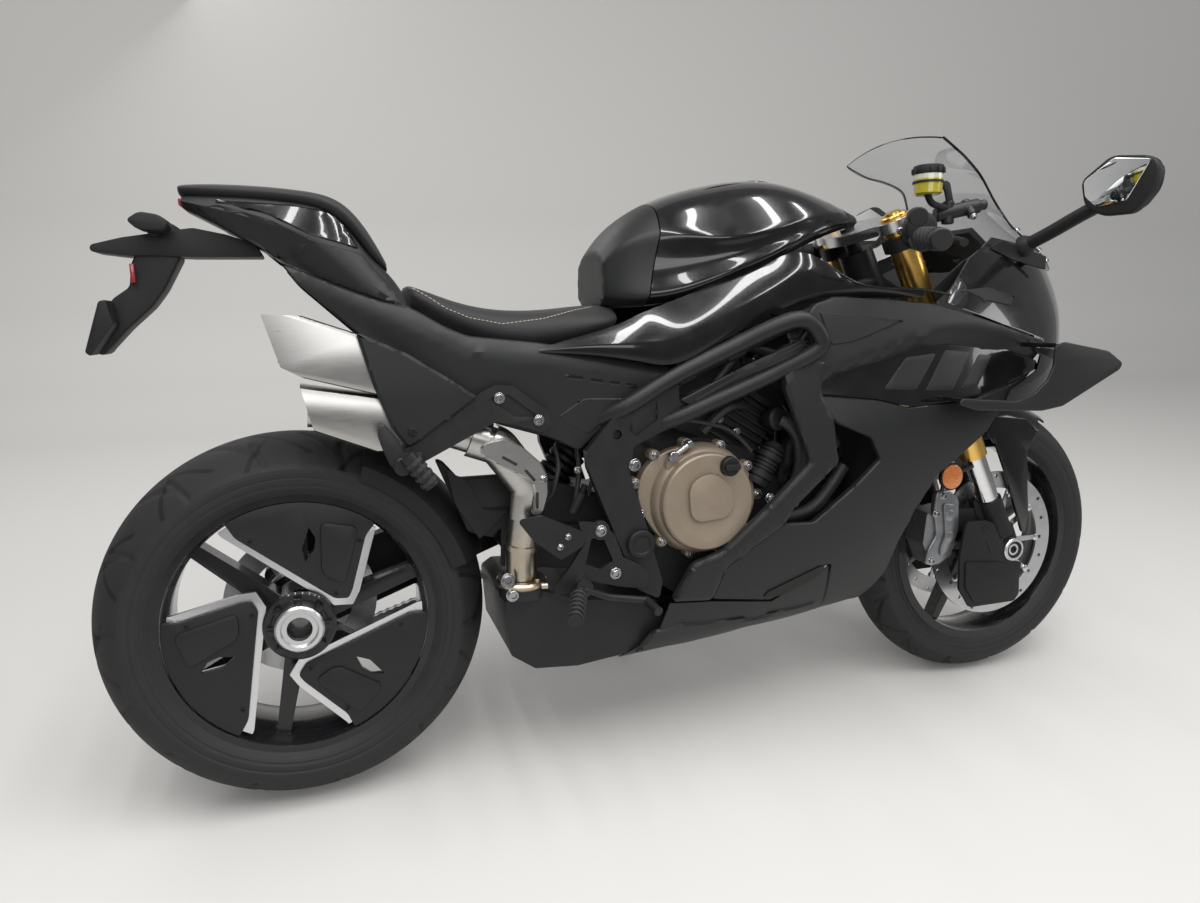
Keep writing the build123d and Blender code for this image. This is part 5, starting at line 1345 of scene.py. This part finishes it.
def footrest_trim():
    bright = [bolt((x, side * 176, z), (0, side, 0), 6.5, 5) for side in (-1, 1)
              for x, z in ((329, 683), (392, 644))]
    bright += [bolt((x, side * 184, z), (0, side, 0), 7.5, 6) for side in (-1, 1)
               for x, z in ((491, 451), (515, 374))]
    bright += [bolt((x, side * 188, z), (0, side, 0), 4, 4) for side in (-1, 1)
               for x, z in ((432, 448), (418, 432))]
    show("footrest_bolts", bright, "bright_bolt")
    bosses = [lathe([(0, 0), (0, 17), (8, 16), (9, 14), (9, 0)], (x, side * 174, z), (0, side, 0), 32)
              for side in (-1, 1) for x, z in ((491, 451), (515, 374))]
    show("footrest_bosses", bosses, "powder_coat")
    for name, start, end, shares, radius, length in (
            ("footpeg_ribs", (452, 181, 354), (418, 262, 330), [0.25 + 0.13 * i for i in range(6)], 14.4, 5),
            ("pillion_peg_ribs", (178, 200, 606), (214, 200, 556), [0.2 + 0.2 * i for i in range(4)], 15.4,
             7)):
        start, end = Vector(start), Vector(end)
        ribs = [ring(9, radius, length, start.lerp(end, share), end - start, 28, (1, 0.8))
                for share in shares]
        show(name, both(*ribs), "grip_rubber")
    bracket = plate([(141, 650), (148, 654), (166, 632), (174, 613), (182, 595), (179, 578), (167, 576),
                     (153, 592), (143, 618), (138, 637)], 184, 196, 4, 3.5, 3)
    knuckle = lathe([(0, 0), (0, 12), (2, 14), (14, 14), (16, 12), (16, 0)], (172, 184, 588), LEFT, 32)
    show("pillion_peg_brackets", both(bracket, knuckle), "powder_coat")


# ---- front end ----
def steering_trim():
    up = (-math.sin(RAKE), 0, math.cos(RAKE))
    caps = [lathe([(-4, 0), (-4, 24), (3, 24), (5, 22), (5, 15), (9, 14), (10, 12), (10, 0)],
                  (fork_x(982), side * 105, 982), up, 40) for side in (-1, 1)]
    show("fork_caps", caps, "gold_anodised", "steering")
    stem = lathe([(0, 9), (0, 22), (5, 22), (7, 19), (9, 15), (9, 9), (0, 9)],
                 (STEERING_FOOT - 986 * math.tan(RAKE) + 6, 0, 974), up, 6)
    show("stem_nut", stem, "machined_alloy", "steering")
    pinch = [bolt((fork_x(962) - 20, side * 140, 952), (-0.4, side * 0.9, 0), 5, 5) for side in (-1, 1)]
    pinch += [bolt((fork_x(940) + 10, side * 142, 936), (0.3, side * 0.95, 0), 5, 5) for side in (-1, 1)]
    show("yoke_pinch_bolts", pinch, "bright_bolt", "steering")


def hand_controls():
    root, tip = Vector((fork_x(938) - 2, 131, 943)), Vector((1026, 338, 918))
    run = tip - root
    rings = [ring(12, 19.4, 4.6, root + run * (0.50 + 0.0286 * i), run, 32, (1.2, 0.8)) for i in range(16)]
    ends = [lathe([(0, 12), (0, 22), (3, 24), (7, 24), (9, 21), (9, 12), (0, 12)], root + run * 0.455, run,
                  40)]
    show("grip_rings", both(*rings, *ends), "grip_rubber", "steering")
    weight = lathe([(0, 9), (0, 17), (4, 18.5), (20, 18.5), (24, 15), (24, 7), (18, 6), (18, 0)],
                   root + run * 0.985, run, 40)
    show("bar_end_weights", both(weight), "powder_coat", "steering")
    buttons = []
    for share, lift, size in ((0.30, 20, 5), (0.34, 21, 4), (0.38, 20, 5)):
        place = root + run * share + Vector((-8, 0, lift - 2))
        buttons.append(lathe([(0, 0), (0, size), (4, size), (5, size - 1), (5, 0)], place, (-0.3, 0, 1), 20))
    show("switch_buttons", both(*buttons), "moulded_plastic", "steering")


def brake_pump():
    """Throttle drum, brake master cylinder and lever pivot at the right grip."""
    run = Vector((-108, -207, -25)).normalized()
    drum = lathe([(0, 0), (0, 24), (3, 27), (30, 27), (34, 24), (36, 19), (36, 0)], (1092, -204, 952), run,
                 48)
    cable = lathe([(0, 0), (0, 15), (2, 17), (22, 17), (24, 15), (24, 0)], (1080, -214, 968), run, 32)
    pump = [rod((1150, -178, 976), (1226, -204, 992), 13, 28, 2), rod((1222, -202, 991), (1238, -208, 994),
                                                                      9, 20, 2),
            rod((1172, -186, 960), (1172, -186, 1000), 11, 24, 2), rod((1204, -214, 972),
                                                                       (1204, -190, 1000), 9, 24, 2),
            hose([(1136, -160, 962), (1120, -170, 956), (1108, -176, 950)], 12)]
    show("throttle_drum", [drum, cable], "moulded_plastic", "steering")
    show("brake_pump_body", pump, "powder_coat", "steering")
    screws = [bolt((1204, -215, 971), (0, -0.6, -0.7), 5, 3), bolt((1172, -186, 1000), UP, 6, 4),
              bolt((1156, -186, 984), (0, -1, 0.3), 4.5, 4)]
    show("brake_pump_screws", screws, "bright_bolt", "steering")


def reservoir():
    x, y, z = 1110, -205, 1013
    glass = lathe([(-6, 0), (-6, 20), (-3, 24), (26, 25), (30, 25), (30, 0)], (x, y, z), UP, 48)
    show("reservoir_pot", glass, "brake_fluid", "steering", ["brake_reservoir"])
    lid = [lathe([(29, 0), (29, 25), (31, 26), (40, 26), (44, 25), (45, 22), (45, 17), (43, 15), (43, 0)],
                 (x, y, z), UP, 48), ring(25, 26.2, 4, (x, y, z + 14), UP, 48)]
    lid += [plate([(x + 26 * math.cos(a) - 2, z + 31), (x + 26 * math.cos(a) + 2, z + 31),
                   (x + 26 * math.cos(a) + 2, z + 40), (x + 26 * math.cos(a) - 2, z + 40)],
                  y + 26 * math.sin(a) - 2.5, y + 26 * math.sin(a) + 2.5, 1, 0.5) for a in turns(12)]
    lid.append(hose([(x, y, z - 4), (x + 4, y, 998), (x + 22, y + 5, 990), (1164, -190, 988)], 6))
    lid.append(plate([(1140, 1030), (1160, 1036), (1168, 1032), (1180, 990), (1168, 986), (1157, 1020),
                      (1138, 1022)], -194, -189, 2, 1))
    lid.append(rod((x + 20, y + 2, 1028), (1152, -192, 1028), 5, 16, 1))
    show("reservoir_lid", lid, "moulded_plastic", "steering")


FENDER_START, FENDER_END = 60.0, 148.0    # degrees from +X towards +Z that the fender covers
FENDER_ARC = math.radians(78)    # how far its section reaches down each side from the crown


def fender():
    """Thin hoop over the front tyre, an arc of FENDER_ARC each way, with a blade down each fork leg."""
    bm = bmesh.new()
    angles = [FENDER_ARC * (i / 6 - 1) for i in range(13)]
    verts = [bm.verts.new((250 + 61 * math.cos(a), 72 * math.sin(a) / math.sin(FENDER_ARC), 0))
             for a in angles]
    edges = [bm.edges.new(pair) for pair in zip(verts, verts[1:])]
    sweep = math.radians(FENDER_END - FENDER_START)
    bmesh.ops.rotate(bm, cent=(0, 0, 0), matrix=Matrix.Rotation(-math.radians(FENDER_START), 3, "Y"),
                     verts=verts)
    bmesh.ops.spin(bm, geom=verts + edges, cent=(0, 0, 0), axis=(0, -1, 0), angle=sweep, steps=48)
    face_towards(bm, UP, bm.faces)
    bmesh.ops.solidify(bm, geom=bm.faces[:], thickness=3)
    bmesh.ops.translate(bm, vec=FRONT_AXLE, verts=bm.verts[:])
    corner = [(1503, 463), (1566, 599), (1642, 560), (1560, 430)]
    for low, high in ((50, 90), (-90, -50)):
        bm = carved(bm, prism(corner, low, high))
    blade = plate([(1384, 545), (1412, 522), (1438, 466), (1498, 318), (1506, 318), (1512, 357),
                   (1498, 500), (1524, 540), (1490, 570), (1410, 580)], 76, 83, 10, 2.5, 3)
    show("fender_moulding", [bm, both(blade)], "gloss_paint", "steering", ["front_fender"])


def front_brake_trim():
    x, _, z = FRONT_AXLE
    bolts = [bolt((bolt_x, side * 112, bolt_z), (0, side, 0), 6.5, 5) for side in (-1, 1)
             for bolt_x, bolt_z in ((1240, 392), (1232, 292), (1256, 428))]
    show("front_brake_bolts", bolts, "bright_bolt", "steering")
    body = plate([(1234, 400), (1238, 436), (1268, 441), (1297, 418), (1299, 352), (1284, 305), (1254, 281),
                  (1218, 284), (1222, 316), (1243, 347)], 98, 113, 9, 4, 3)
    ridge = plate([(1252, 414), (1284, 408), (1287, 354), (1274, 314), (1252, 298), (1248, 316),
                   (1260, 348)], 111, 118, 8, 3, 2)
    pots = [lathe([(0, 0), (0, 12), (3, 12), (4, 10), (4, 0)], (1270, 116, dz), LEFT, 28)
            for dz in (340, 386)]
    show("caliper_faces", both(body, ridge, *pots), "caliper_grey", "steering")
    cover = plate([(1304, 373), (1350, 371), (1371, 363), (1388, 330), (1400, 317), (1406, 287),
                   (1426, 275), (1451, 270), (1447, 233), (1449, 200), (1436, 185), (1319, 186),
                   (1290, 229), (1288, 302), (1299, 366)], 125, 132, 6, 3)
    pad = plate([(1300, 288), (1364, 280), (1388, 278), (1430, 262), (1436, 236), (1436, 204), (1428, 197),
                 (1326, 198), (1302, 232)], 131, 136, 7, 3)
    slot = plate([(1351, 328), (1357, 326), (1371, 302), (1366, 300)], 131, 133, 2, 0.5)
    eye = lathe([(0, 0), (0, 10), (2, 9), (2, 6), (0.8, 5), (0.8, 0)], (1350, 131, 353), LEFT, 28)
    cover = joined(cover, slot, eye)
    show("disc_duct_covers", both(cover, pad), "moulded_plastic", "steering", ["brake_ducts"], smooth=25)
    lines = [hose([(x - 170, side * 100, z + 98), (x - 176, side * 112, z + 150),
                   (x - 168, side * 128, z + 220), (x - 176, side * 134, z + 330), (1230, side * 128, 700)],
                  4) for side in (-1, 1)]
    show("brake_hoses", lines, "hose_rubber", "steering")
    nut = lathe([(0, 8), (0, 25), (9, 25), (11, 23), (11, 18.5), (2, 18), (2, 8), (0, 8)], (x, -124, z),
                RIGHT, 48)
    show("front_axle_nut", nut, "machined_alloy", "steering")
    # near-black ring at the bottom of the nut's recess: painted shade
    show("front_axle_recess_painted_shade", ring(8, 17.5, 1, (x, -126, z), RIGHT, 32), "soot_and_painted_shade", "steering")
    frames = [lathe([(0, 0), (0, 27), (6, 28), (8, 27), (8, 25), (6, 24), (6, 0)], (1244, side * 140, 475),
                    (0, side, 0), 40) for side in (-1, 1)]
    frames += [rod((1250, side * 137, 474), (fork_x(486) - 14, side * 112, 486), 5, 16, 1)
               for side in (-1, 1)]
    show("reflector_frames", frames, "moulded_plastic", "steering", ["round_reflectors"])
    lenses = [lathe([(0, 0), (0, 24.5), (3, 24.5), (4.5, 20), (5, 0)], (1244, side * 146, 475),
                    (0, side, 0), 40) for side in (-1, 1)]
    show("reflector_lenses", lenses, "amber_lens", "steering")


# ---- mirrors, winglets and rear light beam ----
MIRROR = Vector((1398, 362, 1012))
MIRROR_SHAPE = [(-58, 24), (-53, -17), (-20, -53), (42, -51), (81, -29), (92, 17), (33, 51), (-36, 39)]
GLASS_SHAPE = [(-45, 32), (-39, 22), (-5, -30), (53, -34), (78, -13), (83, 15), (24, 46)]


def mirror_plate(shape, scale, depth_low, depth_high, radius, edge):
    """Rounded plate in the mirror's own plane: u towards the bike, v up, depth forwards."""
    bm = plate([(u * scale, v * scale) for u, v in shape], depth_low, depth_high, radius, edge, 4)
    bmesh.ops.transform(bm, matrix=Matrix.Translation(MIRROR) @ Matrix.Rotation(math.radians(-90), 4, "Z"),
                        verts=bm.verts[:])
    return bm


def mirrors():
    housing = joined(mirror_plate(MIRROR_SHAPE, 1.0, -10, 4, 12, 4), mirror_plate(MIRROR_SHAPE, 0.84, 3, 20,
                                                                                  16, 12))
    stalk = [hose([(1386, 158, 926), (1394, 205, 944), (1401, 262, 970), (1403, 320, 990)], 13),
             lathe([(0, 0), (0, 21), (8, 20), (18, 13), (20, 0)], (1386, 152, 924), (0.1, 0.85, 0.35), 32)]
    show("mirror_housings", both(housing, *stalk), "moulded_plastic", replaces=["mirrors"], smooth=40)
    glass = mirror_plate(GLASS_SHAPE, 1.0, -12, -9, 8, 0.8)
    show("mirror_faces", both(glass), "silvered_glass", replaces=["mirror_glass"], smooth=20)


def winglets():
    blade = plate([(1342, 743), (1448, 723), (1484, 700), (1479, 688), (1346, 626), (1299, 620),
                   (1153, 629), (1113, 641), (1120, 652), (1142, 650), (1239, 641), (1280, 653),
                   (1307, 675), (1319, 699), (1321, 737)], 299, 305, 5, 2.2, 3)
    top = plate([(1322, 742), (1430, 728), (1430, 720), (1322, 733)], 200, 301, 2, 2)
    low = plate([(1118, 652), (1240, 636), (1240, 629), (1124, 644)], 214, 301, 2, 2)
    show("winglet_blades", both(blade), "matte_paint", replaces=["winglets"])
    show("winglet_arms", both(top, low), "gloss_paint")


def rear_beam():
    beam = plate([(-250, 930), (-207, 941), (-148, 950), (-108, 956), (-60, 946), (-20, 932), (-10, 912),
                  (-112, 912), (-161, 914), (-206, 914), (-250, 920)], -30, 30, 5, 5, 3)
    indicator = plate([(-190, 962), (-172, 974), (-146, 970), (-132, 958), (-140, 946), (-176, 948)], 34,
                      78, 6, 6, 3)
    stem = rod((-160, -40, 952), (-160, 40, 952), 10, 20, 2)
    hanger = plate([(-187, 926), (-137, 924), (-128, 912), (-156, 862), (-176, 836), (-212, 804),
                    (-250, 764), (-262, 772), (-244, 822), (-230, 850), (-204, 868), (-200, 900)], -26, 26,
                   6, 5, 3)
    holder = plate([(-222, 812), (-256, 766), (-263, 772), (-238, 846), (-228, 848)], -72, 72, 3, 2)
    show("rear_light_beam", [beam, both(indicator), stem, hanger, holder], "moulded_plastic",
         replaces=["plate_hanger"], smooth=25)
    lenses = [plate([(-199, 874), (-193, 874), (-193, 902), (-199, 902)], side * 24 - 12, side * 24 + 12, 1,
                    0.8) for side in (-1, 1)]
    show("side_reflectors", lenses, "red_lens")


# nodes whose own shape is right and only lacks rounded edges: the rounding in mm
CASTINGS = {"pivot_plates": 3.0, "footrests": 1.6, "swingarm": 4.0, "top_yoke": 2.0, "fork_feet": 1.5,
            "silencer_box": 5.0, "clip_ons": 1.0, "bar_controls": 1.2, "hugger": 1.0, "side_stand": 1.5,
            "cockpit_panels": 1.5, "rear_rim": 2.5, "front_rim": 2.0, "engine": 3.0,
            "left_engine_covers": 2.0}


for make in (fairing_sides, belly, nose, windscreen, tank, under_tank, seats, tail, mufflers, heat_shield,
             exhaust_trim, wheels, engine, frame_trim, mudguard_tongue, footrest_trim, steering_trim,
             hand_controls, brake_pump, reservoir, fender, front_brake_trim, mirrors, winglets, rear_beam):
    make()
for node_name, rounding in CASTINGS.items():
    softened(node_name, rounding)


# ---- light, floor and camera ----
# Camera in the bike's upright frame, metres and radians; focal length for a 36 mm wide sensor.
CAMERA_AT = (0.07397, -1.46160, 0.80567)
CAMERA_YAW, CAMERA_PITCH, CAMERA_ROLL = 0.31629, 0.16162, -0.02302
CAMERA_LENS = 24.664


def make_camera():
    yaw, pitch, roll = CAMERA_YAW, CAMERA_PITCH, CAMERA_ROLL
    ahead = Vector((math.sin(yaw) * math.cos(pitch), math.cos(yaw) * math.cos(pitch), -math.sin(pitch)))
    right = Vector((math.cos(yaw), -math.sin(yaw), 0))
    up = right.cross(ahead)
    level_right = math.cos(roll) * right + math.sin(roll) * up
    level_up = -math.sin(roll) * right + math.cos(roll) * up
    turn = Matrix((level_right, level_up, -ahead)).transposed().to_4x4()
    data = bpy.data.cameras.new("camera")
    data.lens, data.sensor_width = CAMERA_LENS, 36.0
    data.clip_start, data.clip_end = 0.05, 60
    camera = bpy.data.objects.new("camera", data)
    bpy.context.scene.collection.objects.link(camera)
    camera.matrix_world = TO_ROW @ Matrix.Scale(1000, 4) @ Matrix.Translation(CAMERA_AT) @ turn
    bpy.context.scene.camera = camera


def make_floor():
    """Pale floor that runs up behind the bike."""
    bm = bmesh.new()
    near, far, wide, high = -4.0, 3.2, 9.0, 5.0
    profile = [(near, 0), (far - 0.9, 0), (far - 0.45, 0.12), (far - 0.12, 0.45), (far, 0.9), (far, high)]
    verts = [bm.verts.new((-wide, y, z)) for y, z in profile]
    edges = [bm.edges.new(pair) for pair in zip(verts, verts[1:])]
    grown = bmesh.ops.extrude_edge_only(bm, edges=edges)["geom"]
    side = [v for v in grown if isinstance(v, bmesh.types.BMVert)]
    bmesh.ops.translate(bm, vec=(2 * wide, 0, 0), verts=side)
    floor = as_object(bm, "floor")
    floor.data.polygons.foreach_set("use_smooth", [True] * len(floor.data.polygons))
    f = Finish("pale_floor", specular_ior_level=0.3)
    cloud = Value(f, f.node("ShaderNodeTexNoise", None, {"Scale": 1.3, "Detail": 3.0}).outputs["Fac"])
    f.set("base color", f.blend(cloud, (0.50, 0.49, 0.47), (0.56, 0.55, 0.53)))
    f.set("roughness", 0.5 + 0.1 * cloud)
    floor.data.materials.append(f.material)


def add_lamp(name, at, target, size, watts, colour=(1, 1, 1)):
    data = bpy.data.lights.new(name, "AREA")
    data.shape, data.size, data.size_y = "RECTANGLE", size[0], size[1]
    data.energy, data.color = watts, colour
    lamp = bpy.data.objects.new(name, data)
    bpy.context.scene.collection.objects.link(lamp)
    lamp.location = at
    lamp.rotation_mode = "QUATERNION"
    lamp.rotation_quaternion = (Vector(target) - Vector(at)).to_track_quat("-Z", "Y")


def make_light():
    world = bpy.data.worlds.new("room")
    bpy.context.scene.world = world
    world.use_nodes = True
    tree = world.node_tree
    back = tree.nodes["Background"]
    back.inputs["Color"].default_value = (0.90, 0.91, 0.93, 1)
    # the room looks dimmer in reflections and through glass than the light it gives
    path = tree.nodes.new("ShaderNodeLightPath")
    seen = tree.nodes.new("ShaderNodeMath")
    seen.operation = "MAXIMUM"
    tree.links.new(path.outputs["Is Glossy Ray"], seen.inputs[0])
    tree.links.new(path.outputs["Is Transmission Ray"], seen.inputs[1])
    strength = tree.nodes.new("ShaderNodeMapRange")
    strength.inputs["To Min"].default_value = 0.72
    strength.inputs["To Max"].default_value = 0.20
    tree.links.new(seen.outputs[0], strength.inputs["Value"])
    tree.links.new(strength.outputs["Result"], back.inputs["Strength"])
    # long ceiling lamps, which draw bright streaks along the gloss paint
    for i, x in enumerate((-1.6, -1.0, -0.4, 0.2, 0.8, 1.4)):
        add_lamp(f"ceiling_lamp_{i}", (x, -0.9, 2.7), (x, -0.6, 0), (0.09, 2.4), 17)
    add_lamp("side_softbox", (-0.6, -3.4, 2.1), (0.0, 0.0, 0.5), (2.6, 0.9), 26)
    add_lamp("front_softbox", (3.2, -1.6, 2.0), (0.3, 0.0, 0.6), (1.2, 1.2), 20)
    add_lamp("back_softbox", (-1.5, 2.6, 2.4), (0.0, 0.0, 0.5), (2.6, 1.2), 22)


make_camera()
make_floor()
make_light()
bpy.context.scene.view_settings.view_transform = "Standard"
